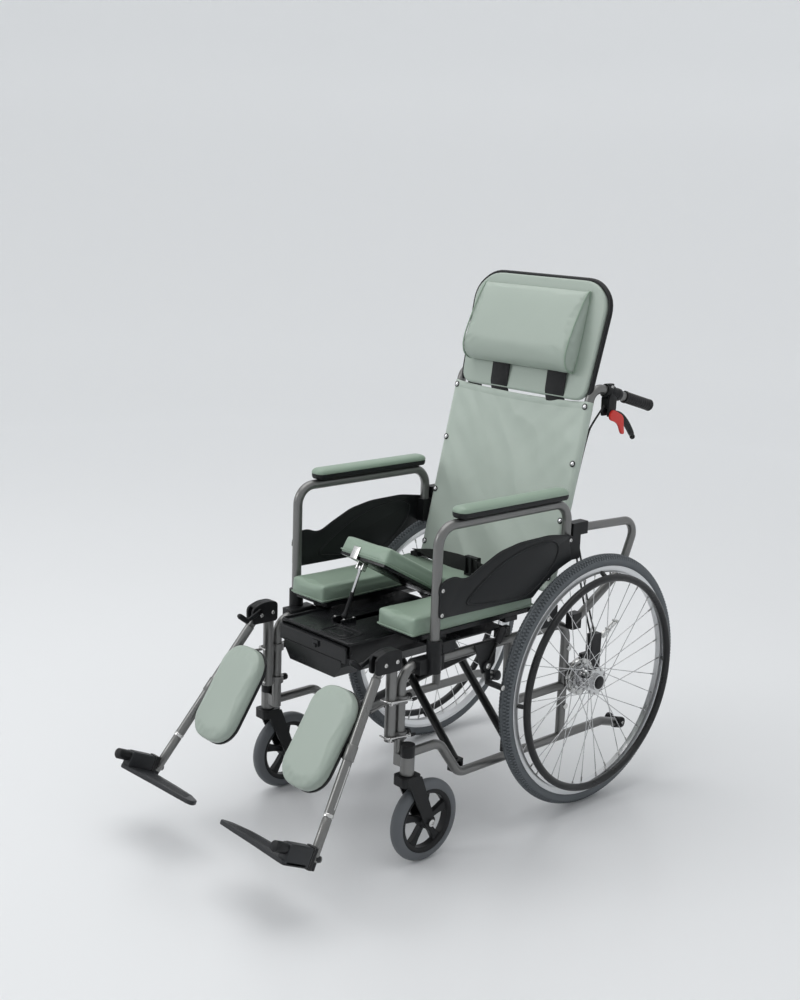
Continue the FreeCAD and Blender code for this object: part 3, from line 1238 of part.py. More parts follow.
def hanger():
    tube = pin_z(HANGER_X, HANGER_Y, (HANGER_LOW_Z, HANGER_TOP_Z), HANGER_R)
    pieces = [tube]
    for height in RING_HEIGHTS:
        z_range = (height - RING_HALF, height + RING_HALF)
        pieces.append(pin_z(FRAME_X, FRONT_POST_Y, z_range, RING_R))
        arm = block((FRAME_X - RING_ARM_HALF, FRAME_X + RING_ARM_HALF), (HANGER_Y, FRONT_POST_Y), z_range)
        pieces.append(arm)
        pieces.append(pin_y(FRAME_X, (FRONT_POST_Y, FRONT_POST_Y + KNOB_REACH), height, KNOB_R))
    stop_front = leg_point((KNEE_Z - STOP_Z) / (KNEE_Z - LEG_FOOT_Z) * leg_length())
    stop_end = stop_front + VY * STOP_PAST
    pieces.append(bar(at(HANGER_X, HANGER_Y, RING_HEIGHTS[1]), stop_end, STOP_R))
    solid = fuse(pieces).cut(pin_z(HANGER_X, HANGER_Y, (HANGER_LOW_Z, HANGER_TOP_Z), HANGER_R - HANGER_WALL))
    low = FRONT_POST_FOOT_Z
    solid = solid.cut(pin_z(FRAME_X, FRONT_POST_Y, (low, SEAT_RAIL_Z), FRAME_TUBE_R + RUN_GAP))
    pin = pin_x((HANGER_X - COVER_HALF_WIDTH, HANGER_X + COVER_HALF_WIDTH), KNEE_Y, KNEE_Z, KNEE_PIN_R)
    return Part.makeCompound([solid, pin])


def hinge_cover():
    x_range = (HANGER_X - COVER_HALF_WIDTH, HANGER_X + COVER_HALF_WIDTH)
    shell = plate_yz(COVER_OUTLINE, x_range)
    low = min(z for y, z in COVER_OUTLINE)
    front = min(y for y, z in COVER_OUTLINE)
    slot_x = (HANGER_X - COVER_SLOT_HALF, HANGER_X + COVER_SLOT_HALF)
    slot = block(slot_x, (front, COVER_SLOT_REAR_Y), (low, COVER_SLOT_TOP_Z))
    tube_hole = pin_z(HANGER_X, HANGER_Y, (low, HANGER_TOP_Z), HANGER_R)
    pin_hole = pin_x(x_range, KNEE_Y, KNEE_Z, KNEE_PIN_R)
    pin_span = (RELEASE_X - RELEASE_HALF, x_range[0])
    release_pin = pin_x(pin_span, RELEASE_PIVOT_Y, RELEASE_PIVOT_Z, RELEASE_PIN_R)
    return fuse([shell.cut(slot).cut(tube_hole).cut(pin_hole), release_pin])


def release_lever():
    x_range = (RELEASE_X - RELEASE_HALF, RELEASE_X + RELEASE_HALF)
    eye = pin_x(x_range, RELEASE_PIVOT_Y, RELEASE_PIVOT_Z, RELEASE_EYE_R)
    arm = plate_yz(RELEASE_ARM, x_range)
    knob = plate_yz(RELEASE_KNOB, (RELEASE_X - RELEASE_KNOB_HALF, RELEASE_X + RELEASE_KNOB_HALF))
    hole = pin_x(x_range, RELEASE_PIVOT_Y, RELEASE_PIVOT_Z, RELEASE_PIN_R + RUN_GAP)
    return fuse([eye, arm, knob]).cut(hole)


def calf_frame(shape):
    shape.rotate(ORIGIN, VX, -CALF_TILT_DEG)
    shape.translate(at(CALF_CENTRE_X, CALF_CENTRE_Y, CALF_CENTRE_Z))
    return shape


def calf_pad():
    pad = Part.makeBox(2.0 * CALF_HALF_WIDTH, CALF_THICK, 2.0 * CALF_HALF_LENGTH,
                       FreeCAD.Vector(-CALF_HALF_WIDTH, -CALF_THICK, -CALF_HALF_LENGTH))
    pad = rounded(pad, CALF_CORNER, VY)
    front = [edge for edge in pad.Edges if edge.CenterOfMass.y < CALF_ROUND - CALF_THICK]
    return calf_frame(pad.makeFillet(CALF_ROUND, front))


def leg_tube():
    knee = leg_point(0.0)
    start = leg_point(LEG_TUBE_START)
    end = leg_point(LEG_TUBE_END)
    barrel = bar(start, end, LEG_R).cut(bar(leg_point(LEG_TUBE_START + LEG_R), end, LEG_BORE_R))
    slope = math.degrees(math.atan2(KNEE_Y - LEG_FOOT_Y, KNEE_Z - LEG_FOOT_Z))
    tongue = Part.makeBox(2.0 * TONGUE_HALF, 2.0 * TONGUE_HALF_HEIGHT, LEG_TUBE_START + LEG_R,
                          FreeCAD.Vector(-TONGUE_HALF, -TONGUE_HALF_HEIGHT, -LEG_TUBE_START - LEG_R))
    tongue.rotate(ORIGIN, VX, -slope)
    tongue.translate(knee)
    eye = bar(knee - VX * TONGUE_HALF, knee + VX * TONGUE_HALF, TONGUE_HALF_HEIGHT)
    clamp_at = leg_point(CALF_ARM_AT)
    run = (end - start).normalize()
    clamp = bar(clamp_at - run * CALF_ARM_HALF, clamp_at + run * CALF_ARM_HALF, CLAMP_R)
    reach = clamp_at.x - CALF_CENTRE_X
    arm = Part.makeBox(reach + CALF_CENTRE_X - CALF_ARM_IN_X, CALF_ARM_THICK, 2.0 * CALF_ARM_HALF,
                       FreeCAD.Vector(CALF_ARM_IN_X - CALF_CENTRE_X, SEAT_GAP, -CALF_ARM_HALF))
    arm = calf_frame(arm)
    solid = fuse([barrel, tongue, eye, clamp, arm])
    pin_hole = bar(knee - VX * TONGUE_HALF, knee + VX * TONGUE_HALF, KNEE_PIN_R + RUN_GAP)
    return solid.cut(pin_hole).cut(bar(leg_point(LEG_TUBE_START + LEG_R), end, LEG_BORE_R)).cut(calf_pad())


def foot_block(x_range, along, rise):
    z_range = (LEG_FOOT_Z + rise[0], LEG_FOOT_Z + rise[1])
    return block(x_range, (LEG_FOOT_Y + along[0], LEG_FOOT_Y + along[1]), z_range)


def foot_pin(along, rise, radius):
    return pin_y(FLIP_X, (LEG_FOOT_Y + along[0], LEG_FOOT_Y + along[1]), LEG_FOOT_Z + rise, radius)


def foot_frame(shape):
    shape.rotate(at(FLIP_X, LEG_FOOT_Y, LEG_FOOT_Z), VX, -FOOT_TILT_DEG)
    return shape


def foot_tube():
    tube = bar(leg_point(FOOT_TUBE_START), leg_point(leg_length()), FOOT_TUBE_R)
    half = FLIP_BLOCK_HALF_X
    web_half = half / 2.0
    rise = (CARRIER_LOW, CARRIER_TOP)
    carrier = foot_block((FLIP_X - half, FLIP_X + half), (CARRIER_FRONT, CARRIER_REAR), rise)
    web_rise = (CARRIER_LOW, CARRIER_WEB_RISE)
    web = foot_block((FLIP_X - web_half, FLIP_X + web_half), (CARRIER_REAR, 0.0), web_rise)
    end_knob = foot_pin((0.0, END_KNOB_END), END_KNOB_RISE, END_KNOB_R)
    head_start = FLIP_FRONT - CLEAR_GAP
    pin = foot_pin((head_start, CARRIER_FRONT), FLIP_RISE, FLIP_PIN_R)
    head = foot_pin((FLIP_FRONT - FLIP_KNOB_LENGTH, head_start), FLIP_RISE, FLIP_KNOB_R)
    return fuse([tube] + [foot_frame(piece) for piece in (carrier, web, end_knob, pin, head)])


def footplate():
    half = FLIP_BLOCK_HALF_X
    along = (FLIP_FRONT, FLIP_REAR)
    hinge_block = foot_block((FLIP_X - half, FLIP_X + half), along, (BLADE_LOW, FLIP_BLOCK_TOP))
    outline = [(x, LEG_FOOT_Y + y) for x, y in BLADE_OUTLINE]
    blade = plate_xy(outline, (LEG_FOOT_Z + BLADE_LOW, LEG_FOOT_Z + BLADE_TOP))
    hole = foot_pin(along, FLIP_RISE, FLIP_PIN_R + RUN_GAP)
    return foot_frame(fuse([hinge_block, blade]).cut(hole))


def build_legrests():
    save_sides("hanger", hanger())
    save_sides("hinge_cover", hinge_cover())
    save_sides("release_lever", release_lever())
    save_sides("leg_tube", leg_tube())
    save_sides("calf_pad", calf_pad())
    save_sides("foot_tube", foot_tube())
    save_sides("footplate", footplate())


os.makedirs("parts", exist_ok=True)
build_wheels()
build_frames()
build_castings()
build_fixings()
build_casters()
build_armrests()
build_backrest()
build_brakes()
build_seat()
build_legrests()
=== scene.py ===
# %% [markdown]
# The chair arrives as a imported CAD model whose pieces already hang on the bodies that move.
# Everything made here is built round that frame in the same place and scale.
# Heights are above the floor and fore-and-aft places are behind the rear axle, both in millimetres,
# because that is how a maker would measure the chair.

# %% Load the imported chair
import math
import bmesh
import bpy
from mathutils import Matrix, Vector, noise


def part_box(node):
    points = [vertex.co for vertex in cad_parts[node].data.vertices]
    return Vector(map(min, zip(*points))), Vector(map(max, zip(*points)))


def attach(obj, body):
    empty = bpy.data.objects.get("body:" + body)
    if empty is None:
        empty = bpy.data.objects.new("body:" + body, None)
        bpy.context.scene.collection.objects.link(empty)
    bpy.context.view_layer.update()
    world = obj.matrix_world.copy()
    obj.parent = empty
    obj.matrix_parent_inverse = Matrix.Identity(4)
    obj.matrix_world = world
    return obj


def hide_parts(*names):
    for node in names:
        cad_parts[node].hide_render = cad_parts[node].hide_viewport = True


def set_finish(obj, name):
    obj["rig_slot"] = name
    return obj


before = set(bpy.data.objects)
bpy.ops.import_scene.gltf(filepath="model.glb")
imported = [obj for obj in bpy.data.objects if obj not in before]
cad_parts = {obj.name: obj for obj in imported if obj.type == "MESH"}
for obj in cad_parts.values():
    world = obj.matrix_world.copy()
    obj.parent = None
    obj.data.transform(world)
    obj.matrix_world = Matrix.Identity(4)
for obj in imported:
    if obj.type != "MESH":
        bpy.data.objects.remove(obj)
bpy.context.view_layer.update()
scene = bpy.context.scene
tyre_low, tyre_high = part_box("tyre_left")
axle_y = (tyre_low.y + tyre_high.y) / 2
to_part = Matrix.Translation((0, axle_y, 0)) @ Matrix.Scale(0.001, 4)

# %% [markdown]
# The camera stands where the photographer stood, in front of the chair and to the user's left.
# Its lens and place were worked out from the two rear wheels, which are circles of a known size.
# The small roll matches the slight lean of the picture.

# %% Camera
def look(turn, rise, roll, place):
    """The matrix of a camera at place, turned about the upright, tipped down by rise, then rolled, in degrees."""
    turn, rise, roll = (math.radians(v) for v in (turn, rise, roll))
    ahead = Vector((-math.sin(turn) * math.cos(rise), math.cos(turn) * math.cos(rise), -math.sin(rise)))
    right = Vector((math.cos(turn), math.sin(turn), 0))
    up = right.cross(ahead)
    across = right * math.cos(roll) + up * math.sin(roll)
    upward = up * math.cos(roll) - right * math.sin(roll)
    matrix = Matrix((across, upward, -ahead)).transposed().to_4x4()
    matrix.translation = to_part @ Vector(place)
    return matrix


lens = bpy.data.cameras.new("studio_camera")
lens.lens = 50.0
lens.sensor_width = 36.0
lens.dof.use_dof = False
camera = bpy.data.objects.new("studio_camera", lens)
scene.collection.objects.link(camera)
camera.matrix_world = look(46.968, 12.864, 2.016, (2227.8, -2468.8, 1437.0))
scene.camera = camera
print("camera at", [round(v, 3) for v in camera.matrix_world.translation])

# %% [markdown]
# Many hard pieces are turned on a lathe: hubs, knobs, collars, caps and the tread of a caster.
# A lathe needs only half a section, which is carried round the X axis here.
# A second helper then points the turned piece the way it lies on the chair.

# %% Turned shapes
SAME_POINT = 1e-4


def turned(profile, steps, closed=False):
    """A lathe about the X axis: profile holds (radius, along) pairs."""
    made = bmesh.new()
    rings = []
    for step in range(steps):
        angle = 2 * math.pi * step / steps
        rings.append([made.verts.new((along, r * math.sin(angle), r * math.cos(angle))) for r, along in profile])
    count = len(profile)
    for step in range(steps):
        here, there = rings[step], rings[(step + 1) % steps]
        for k in range(count if closed else count - 1):
            made.faces.new((here[k], here[(k + 1) % count], there[(k + 1) % count], there[k]))
    bmesh.ops.remove_doubles(made, verts=made.verts, dist=SAME_POINT)
    bmesh.ops.recalc_face_normals(made, faces=made.faces)
    return made


def aimed(shape, place, direction):
    """Turns a shape made along X to point along direction, standing at place."""
    spin = Vector((1, 0, 0)).rotation_difference(Vector(direction)).to_matrix().to_4x4()
    shape.transform(Matrix.Translation(place) @ spin)
    return shape


# %% [markdown]
# The other hard pieces are cut from plate or moulded as blocks. Both start as a flat outline with a thickness.
# Their edges are then rounded a little, because it is the rounded edge that catches the light.

# %% Plates and blocks
SHARP_DEGREES = 35


def eased(shape, width, segments=3, where=lambda edge: True):
    """Rounds every sharp edge, or only those for which where is true."""
    bmesh.ops.remove_doubles(shape, verts=shape.verts, dist=SAME_POINT)
    inner = [e for e in shape.edges if len(e.link_faces) == 2]
    edges = [e for e in inner if e.calc_face_angle() > math.radians(SHARP_DEGREES) and where(e)]
    bmesh.ops.bevel(shape, geom=edges, offset=width, segments=segments, profile=0.6, affect="EDGES",
                    clamp_overlap=True)
    return shape


def slab(outline, low, high, plane="yz"):
    """A plate cut to outline. The plane names the two directions of the outline, the rest is its thickness."""
    order = {"yz": lambda a, b, c: (c, a, b), "xy": lambda a, b, c: (a, b, c), "xz": lambda a, b, c: (a, c, b)}[plane]
    made = bmesh.new()
    under = [made.verts.new(order(a, b, low)) for a, b in outline]
    over = [made.verts.new(order(a, b, high)) for a, b in outline]
    made.faces.new(under)
    made.faces.new(over)
    for k in range(len(outline)):
        after = (k + 1) % len(outline)
        made.faces.new((under[k], under[after], over[after], over[k]))
    bmesh.ops.recalc_face_normals(made, faces=made.faces)
    return made


def block(low, high, ease):
    """A box from its low corner to its high corner, with its edges eased."""
    outline = ((low[0], low[1]), (high[0], low[1]), (high[0], high[1]), (low[0], high[1]))
    return eased(slab(outline, low[2], high[2], "xy"), ease)


# %% [markdown]
# Wires, welts and ridges are bars bent along a line. The bar carries its section along without twisting it,
# as a wire does when it is bent by hand. Loose shapes that belong to one piece are joined into one mesh.

# %% Bars and joins
def joined(*shapes):
    """One shape out of several. The single shapes are used up."""
    whole = bmesh.new()
    for shape in shapes:
        part = bpy.data.meshes.new("part")
        shape.to_mesh(part)
        shape.free()
        whole.from_mesh(part)
        bpy.data.meshes.remove(part)
    return whole


def curvy(points, rounds=2, closed=True):
    """Softens the corners of an outline by cutting them again and again."""
    points = [Vector(p) for p in points]
    for _ in range(rounds):
        ends = list(zip(points, points[1:] + points[:1])) if closed else list(zip(points, points[1:]))
        cut = [p for a, b in ends for p in (a.lerp(b, 0.25), a.lerp(b, 0.75))]
        points = cut if closed else [points[0]] + cut + [points[-1]]
    return points


def rod(points, radius, closed=False, sides=12):
    """A round bar that follows points, with each ring square to the way it runs."""
    points = [Vector(p) for p in points]
    count = len(points)
    made = bmesh.new()
    rings = []
    normal = None
    turns = [2 * math.pi * s / sides for s in range(sides)]
    for k, point in enumerate(points):
        before = points[k - 1] if k or closed else point
        after = points[(k + 1) % count] if k < count - 1 or closed else point
        run = (after - before).normalized()
        if normal is None:
            normal = run.orthogonal().normalized()
        normal = (normal - run * normal.dot(run)).normalized()
        across = run.cross(normal)
        rings.append([made.verts.new(point + (normal * math.cos(t) + across * math.sin(t)) * radius) for t in turns])
    spans = list(zip(rings, rings[1:]))
    if closed:
        shift = min(range(sides), key=lambda s: (rings[0][s].co - rings[-1][0].co).length)
        spans.append((rings[-1], rings[0][shift:] + rings[0][:shift]))
    else:
        made.faces.new(rings[0])
        made.faces.new(rings[-1])
    for here, there in spans:
        for s in range(sides):
            made.faces.new((here[s], here[(s + 1) % sides], there[(s + 1) % sides], there[s]))
    bmesh.ops.recalc_face_normals(made, faces=made.faces)
    return made


# %% [markdown]
# A finished shape is hung on the body of the chair that carries it, so that it moves when that body moves.
# Nearly every piece comes in pairs. The left one is made and the right one is its mirror image.

# %% Hang pieces on the chair
ALL_SMOOTH = 180
SHARED_BODIES = ("frame", "backrest")


def hang(name, shape, body, finish, slot, smooth=SHARP_DEGREES, place=None):
    """Turns a shape in millimetres into a piece of the chair that rides on body, moved by place first."""
    if place is not None:
        shape.transform(place)
    mesh = bpy.data.meshes.new(name)
    shape.to_mesh(mesh)
    shape.free()
    mesh.transform(to_part)
    mesh.materials.append(finish)
    mesh.shade_smooth()
    mesh.set_sharp_from_angle(angle=math.radians(smooth))
    piece = bpy.data.objects.new(name, mesh)
    scene.collection.objects.link(piece)
    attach(piece, body)
    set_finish(piece, slot)
    return piece


def twin(piece, body):
    """The same piece for the user's right side."""
    mesh = piece.data.copy()
    mesh.transform(Matrix.Scale(-1, 4, (1, 0, 0)))
    mesh.flip_normals()
    other = bpy.data.objects.new(piece.name.replace("_left", "_right"), mesh)
    scene.collection.objects.link(other)
    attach(other, body)
    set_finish(other, piece["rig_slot"])
    return other


def hang_pair(name, shape, body, finish, slot, replaces=None, smooth=SHARP_DEGREES, place=None):
    """A left piece and its twin. Bodies and nodes that come in pairs are named without their side."""
    sides = (body, body) if body in SHARED_BODIES else (body + "_left", body + "_right")
    left = hang(name + "_left", shape, sides[0], finish, slot, smooth, place)
    right = twin(left, sides[1])
    if replaces:
        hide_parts(replaces + "_left")
        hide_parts(replaces + "_right")
    return left, right


# %% [markdown]
# A photo studio uses a cove: a floor that curves up into a wall so that no horizon line shows.
# Here the cove is turned all the way round the chair, so the chair can be looked at from any side.
# The wall is lit on its own in a studio, and a faint glow that grows away from the chair stands for that light.

# %% Studio cove
COVE_FLOOR, COVE_BEND, COVE_TOP = 5200.0, 2400.0, 5200.0


def set_inputs(node, **values):
    """Sets sockets of a shader node. An underscore in a name stands for a space."""
    for name, value in values.items():
        node.inputs[name.replace("_", " ")].default_value = value
    return node


def add_node(tree, kind, **values):
    return set_inputs(tree.nodes.new("ShaderNode" + kind), **values)


cove_profile = [(1.0, 0.0), (1500.0, 0.0), (3500.0, 0.0), (COVE_FLOOR, 0.0)]
for k in range(1, 17):
    bend = k * math.pi / 32
    cove_profile.append((COVE_FLOOR + COVE_BEND * math.sin(bend), COVE_BEND - COVE_BEND * math.cos(bend)))
cove_profile.append((COVE_FLOOR + COVE_BEND, COVE_TOP))
cove_shape = turned(cove_profile, 96)
cove_shape.transform(Matrix.Rotation(-math.pi / 2, 4, "Y"))
cove_paper = bpy.data.materials.new("cove_paper")
cove_paper.use_nodes = True
cove_tree = cove_paper.node_tree
paper = set_inputs(cove_tree.nodes["Principled BSDF"], Base_Color=(0.78, 0.79, 0.80, 1), Roughness=0.3,
                   Emission_Color=(0.95, 0.98, 1.0, 1))
spot = add_node(cove_tree, "TexCoord")
away = add_node(cove_tree, "VectorMath")
away.operation = "LENGTH"
glow = add_node(cove_tree, "MapRange", From_Min=2.2, From_Max=6.4, To_Max=0.12)
cove_tree.links.new(spot.outputs["Object"], away.inputs[0])
cove_tree.links.new(away.outputs["Value"], glow.inputs["Value"])
cove_tree.links.new(glow.outputs["Result"], paper.inputs["Emission Strength"])
cove_mesh = bpy.data.meshes.new("cove")
cove_shape.to_mesh(cove_mesh)
cove_shape.free()
cove_mesh.transform(Matrix.Scale(0.001, 4))
cove_mesh.materials.append(cove_paper)
cove_mesh.shade_smooth()
cove = bpy.data.objects.new("cove", cove_mesh)
scene.collection.objects.link(cove)
print("cove floor has a radius of", COVE_FLOOR / 1000, "m")

# %% [markdown]
# A large soft lamp hangs overhead, with a weaker one in front on the user's right, as in product photography.
# Light from the white walls of the studio comes from all round and keeps the shadows pale.

# %% Lamps and studio light
def lamp(name, place, target, size, power):
    """A round soft lamp. Places are in metres."""
    light = bpy.data.lights.new(name, "AREA")
    light.shape = "DISK"
    light.size = size
    light.energy = power
    holder = bpy.data.objects.new(name, light)
    holder.location = place
    holder.rotation_mode = "QUATERNION"
    holder.rotation_quaternion = (Vector(target) - Vector(place)).to_track_quat("-Z", "Y")
    scene.collection.objects.link(holder)
    print(name, "gives", power, "W")


lamp("overhead_softbox", (-0.7, -0.1, 4.3), (0, 0, 0.4), 4.4, 80)
lamp("front_softbox", (-2.4, -3.6, 2.8), (0, 0, 0.7), 2.0, 38)
world = bpy.data.worlds.new("studio_air")
scene.world = world
world.use_nodes = True
set_inputs(world.node_tree.nodes["Background"], Color=(0.98, 0.99, 1.0, 1), Strength=0.66)
scene.view_settings.view_transform = "Standard"

# %% [markdown]
# Every finish is mixed from a few layers: slow changes of tone, a fine relief that breaks up reflections,
# and a gloss that varies a little as handled surfaces do. Vinyl also has wide, soft creases.
# Paint, plastic, rubber and vinyl differ in how coarse these layers are, so one helper mixes them all
# and each finish only states its own grain.

# %% Mix a finish
GLOSS_CHANGE = 0.05


def mixed_finish(name, colour, roughness, metallic=0.0, tone=0.06, patch=0.06, grain=0.0002, pitch=0.0012,
                 relief="noise", coat=0.0, sheen=0.0, glint=0.5, crease=0.0):
    """A finish whose patch, grain, pitch and crease are in metres and whose tone is a share of the colour."""
    finish = bpy.data.materials.new(name)
    finish.use_nodes = True
    tree = finish.node_tree
    link = tree.links.new
    shader = set_inputs(tree.nodes["Principled BSDF"], Metallic=metallic, Coat_Weight=coat, Coat_Roughness=0.25,
                        Sheen_Weight=sheen, Specular_IOR_Level=glint)
    where = add_node(tree, "TexCoord").outputs["Object"]
    cloud = add_node(tree, "TexNoise", Scale=1 / patch, Detail=4)
    link(where, cloud.inputs["Vector"])
    tones = add_node(tree, "Mix")
    tones.data_type = "RGBA"
    set_inputs(tones, A=(*[max(0.0, c * (1 - tone)) for c in colour], 1),
               B=(*[min(1.0, c * (1 + tone)) for c in colour], 1))
    link(cloud.outputs["Fac"], tones.inputs["Factor"])
    link(tones.outputs["Result"], shader.inputs["Base Color"])
    shine = add_node(tree, "MapRange", From_Min=0.3, From_Max=0.7, To_Min=max(0.02, roughness - GLOSS_CHANGE),
                     To_Max=min(1.0, roughness + GLOSS_CHANGE))
    link(cloud.outputs["Fac"], shine.inputs["Value"])
    link(shine.outputs["Result"], shader.inputs["Roughness"])
    if relief == "leather":
        pits = add_node(tree, "TexVoronoi", Scale=1 / pitch)
        pits.feature = "SMOOTH_F1"
        height = pits.outputs["Distance"]
    else:
        pits = add_node(tree, "TexNoise", Scale=1 / pitch, Detail=2)
        height = pits.outputs["Fac"]
    link(where, pits.inputs["Vector"])
    bump = add_node(tree, "Bump", Strength=0.6, Distance=grain)
    link(height, bump.inputs["Height"])
    link(bump.outputs["Normal"], shader.inputs["Normal"])
    if crease:
        folds = add_node(tree, "TexNoise", Scale=11, Detail=1.5, Distortion=0.5)
        link(where, folds.inputs["Vector"])
        waves = add_node(tree, "Bump", Strength=0.7, Distance=crease)
        link(folds.outputs["Fac"], waves.inputs["Height"])
        link(waves.outputs["Normal"], bump.inputs["Normal"])
    return finish


# %% [markdown]
# The frame is painted a dark metallic grey and the legs are brighter. The blacks are close to each other,
# and it is their gloss and grain that tells nylon, rubber, paint and webbing apart.
# The three sage greens are the glossy vinyl of the seat, which is the pad vinyl darkened with painted shade, the
# paler vinyl of the pads and the sling.

# %% Finishes
frame_paint = mixed_finish("frame_paint", (0.185, 0.185, 0.181), 0.33, 0.8, tone=0.05, pitch=0.0006,
                           grain=0.00005, coat=0.3)
leg_silver = mixed_finish("leg_silver", (0.2, 0.2, 0.195), 0.3, 0.85, tone=0.04, pitch=0.0006, grain=0.00004)
black_paint = mixed_finish("black_paint", (0.012, 0.0125, 0.0135), 0.34, pitch=0.0008, grain=0.00006, coat=0.1,
                           glint=0.28)
black_nylon = mixed_finish("black_nylon", (0.0105, 0.011, 0.012), 0.4, tone=0.12, pitch=0.0007, grain=0.00012,
                           glint=0.24)
black_moulding = mixed_finish("black_moulding", (0.0095, 0.01, 0.011), 0.24, tone=0.12, pitch=0.0012,
                              grain=0.00003, glint=0.28)
guard_plastic = mixed_finish("guard_plastic", (0.011, 0.012, 0.013), 0.34, tone=0.1, pitch=0.0009, grain=0.00008,
                             glint=0.24)
sage_vinyl = mixed_finish("sage_vinyl", (0.35, 0.41, 0.36), 0.42, tone=0.04, patch=0.09, pitch=0.0016, grain=0.00022,
                          relief="leather", sheen=0.08, crease=0.0012)
# The pad vinyl made glossier and darker. The darkening is painted shade for the shadow on the seat and armrests and
# for dark seams at the welts and piping.
sage_vinyl_painted_shade = mixed_finish("sage_vinyl_painted_shade", (0.248, 0.33, 0.26), 0.34, tone=0.05, patch=0.09, pitch=0.0016, grain=0.0002,
                          relief="leather", sheen=0.05, crease=0.0008)
sage_sheet = mixed_finish("sage_sheet", (0.425, 0.49, 0.435), 0.46, tone=0.05, patch=0.05, pitch=0.0011,
                          grain=0.00018, relief="leather", sheen=0.08, crease=0.003)
black_webbing = mixed_finish("black_webbing", (0.0105, 0.0105, 0.0115), 0.7, tone=0.2, patch=0.01, pitch=0.0018,
                             grain=0.0006, sheen=0.1, glint=0.3)
brake_metal = mixed_finish("brake_metal", (0.028, 0.028, 0.03), 0.4, 0.4, pitch=0.0007, grain=0.0001, glint=0.35)
cable_rubber = mixed_finish("cable_rubber", (0.011, 0.011, 0.012), 0.4, pitch=0.001, grain=0.00005, glint=0.4)
plated_steel = mixed_finish("plated_steel", (0.6, 0.6, 0.59), 0.22, 1.0, tone=0.05, pitch=0.0005, grain=0.00004)
chrome_rod = mixed_finish("chrome_rod", (0.68, 0.68, 0.69), 0.12, 1.0, tone=0.03, pitch=0.0006, grain=0.00002)
tyre_rubber = mixed_finish("tyre_rubber", (0.118, 0.13, 0.14), 0.62, tone=0.1, patch=0.03, pitch=0.0009,
                           grain=0.00016, glint=0.35)
wheel_alloy = mixed_finish("wheel_alloy", (0.74, 0.75, 0.76), 0.32, 0.9, tone=0.03, pitch=0.0005, grain=0.00004)
spoke_steel = mixed_finish("spoke_steel", (0.6, 0.605, 0.61), 0.24, 1.0, tone=0.03, pitch=0.0005, grain=0.00003)
handrim_black = mixed_finish("handrim_black", (0.0105, 0.011, 0.012), 0.3, tone=0.08, pitch=0.0012, grain=0.00005,
                             glint=0.4)
caster_rubber = mixed_finish("caster_rubber", (0.105, 0.113, 0.122), 0.46, tone=0.06, patch=0.03, pitch=0.0008,
                             grain=0.0001, glint=0.4)
red_plastic = mixed_finish("red_plastic", (0.62, 0.03, 0.022), 0.34, tone=0.05, pitch=0.0008, grain=0.00005)
foot_plastic = mixed_finish("foot_plastic", (0.02, 0.0215, 0.024), 0.46, tone=0.12, pitch=0.001, grain=0.0002,
                            glint=0.35)
grip_rubber = mixed_finish("grip_rubber", (0.0115, 0.0115, 0.013), 0.5, tone=0.1, pitch=0.0009, grain=0.00014,
                           glint=0.35)
print(len(bpy.data.materials), "finishes")

# %% [markdown]
# The tubes, plates and castings already have their true shape in the CAD model.
# They keep it and only get their finish. A bevel modifier eases the edges of those that are cut or moulded,
# by the millimetres given beside the finish, and the tubes need none.

# %% Dress the CAD pieces
def dress(node, finish, ease):
    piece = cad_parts[node]
    piece.data.materials.clear()
    piece.data.materials.append(finish)
    if ease:
        weld = piece.modifiers.new("close_seams", "WELD")
        weld.merge_threshold = 0.00001
        bevel = piece.modifiers.new("eased_edges", "BEVEL")
        bevel.width = ease / 1000
        bevel.segments = 2
        bevel.limit_method = "ANGLE"
        bevel.angle_limit = math.radians(40)


single_nodes = {
    "side_frames": (frame_paint, 0), "cross_brace": (black_paint, 0), "frame_castings": (black_nylon, 1.2),
    "commode_deck": (black_moulding, 0.8), "seat_board": (black_moulding, 0.6),
    "commode_drawer": (black_moulding, 0.8), "hub_brakes": (brake_metal, 0.8),
    "wheel_lock_brackets": (black_paint, 0.5), "frame_bolts": (plated_steel, 0.4),
    "frame_caps": (black_nylon, 1.5), "back_posts": (frame_paint, 0)}
paired_nodes = {
    "rim": (wheel_alloy, 0), "spokes_hub": (spoke_steel, 0), "handrim": (handrim_black, 0),
    "caster_fork": (black_nylon, 1.2), "armrest_tube": (frame_paint, 0), "lock_lever": (black_paint, 0.6),
    "hanger": (frame_paint, 0), "foot_tube": (leg_silver, 0)}
for node, (finish, ease) in single_nodes.items():
    dress(node, finish, ease)
for node, (finish, ease) in paired_nodes.items():
    for side in ("_left", "_right"):
        dress(node + side, finish, ease)
print("dressed", len(single_nodes) + 2 * len(paired_nodes), "CAD pieces that stay")

# %% [markdown]
# The grey tyre is one ring with a round section. Its shoulders carry rows of small blocks.
# The blocks are made by drawing points of the ring in by up to 4 millimetres, two steps in every five,
# with the second row shifted so that the blocks stand between each other.

# %% Tyres
WHEEL_X, AXLE_HEIGHT = 263.0, 305.0
TYRE_RADIUS, TYRE_SECTION, TYRE_STEPS = 288.5, 16.5, 1080


def tread_depth(side, step):
    """How far the tread is drawn in, by degrees from its middle line and by step round the wheel."""
    if 8 < side <= 14 or 40 < side <= 44:
        return 2.2
    if 14 < side <= 40:
        return 4.0 if step % 5 < 2 else 0.0
    if 44 < side <= 66:
        return 4.0 if (step + 2) % 5 < 2 else 0.0
    return 0.6 if 76 < side < 82 else 0.0


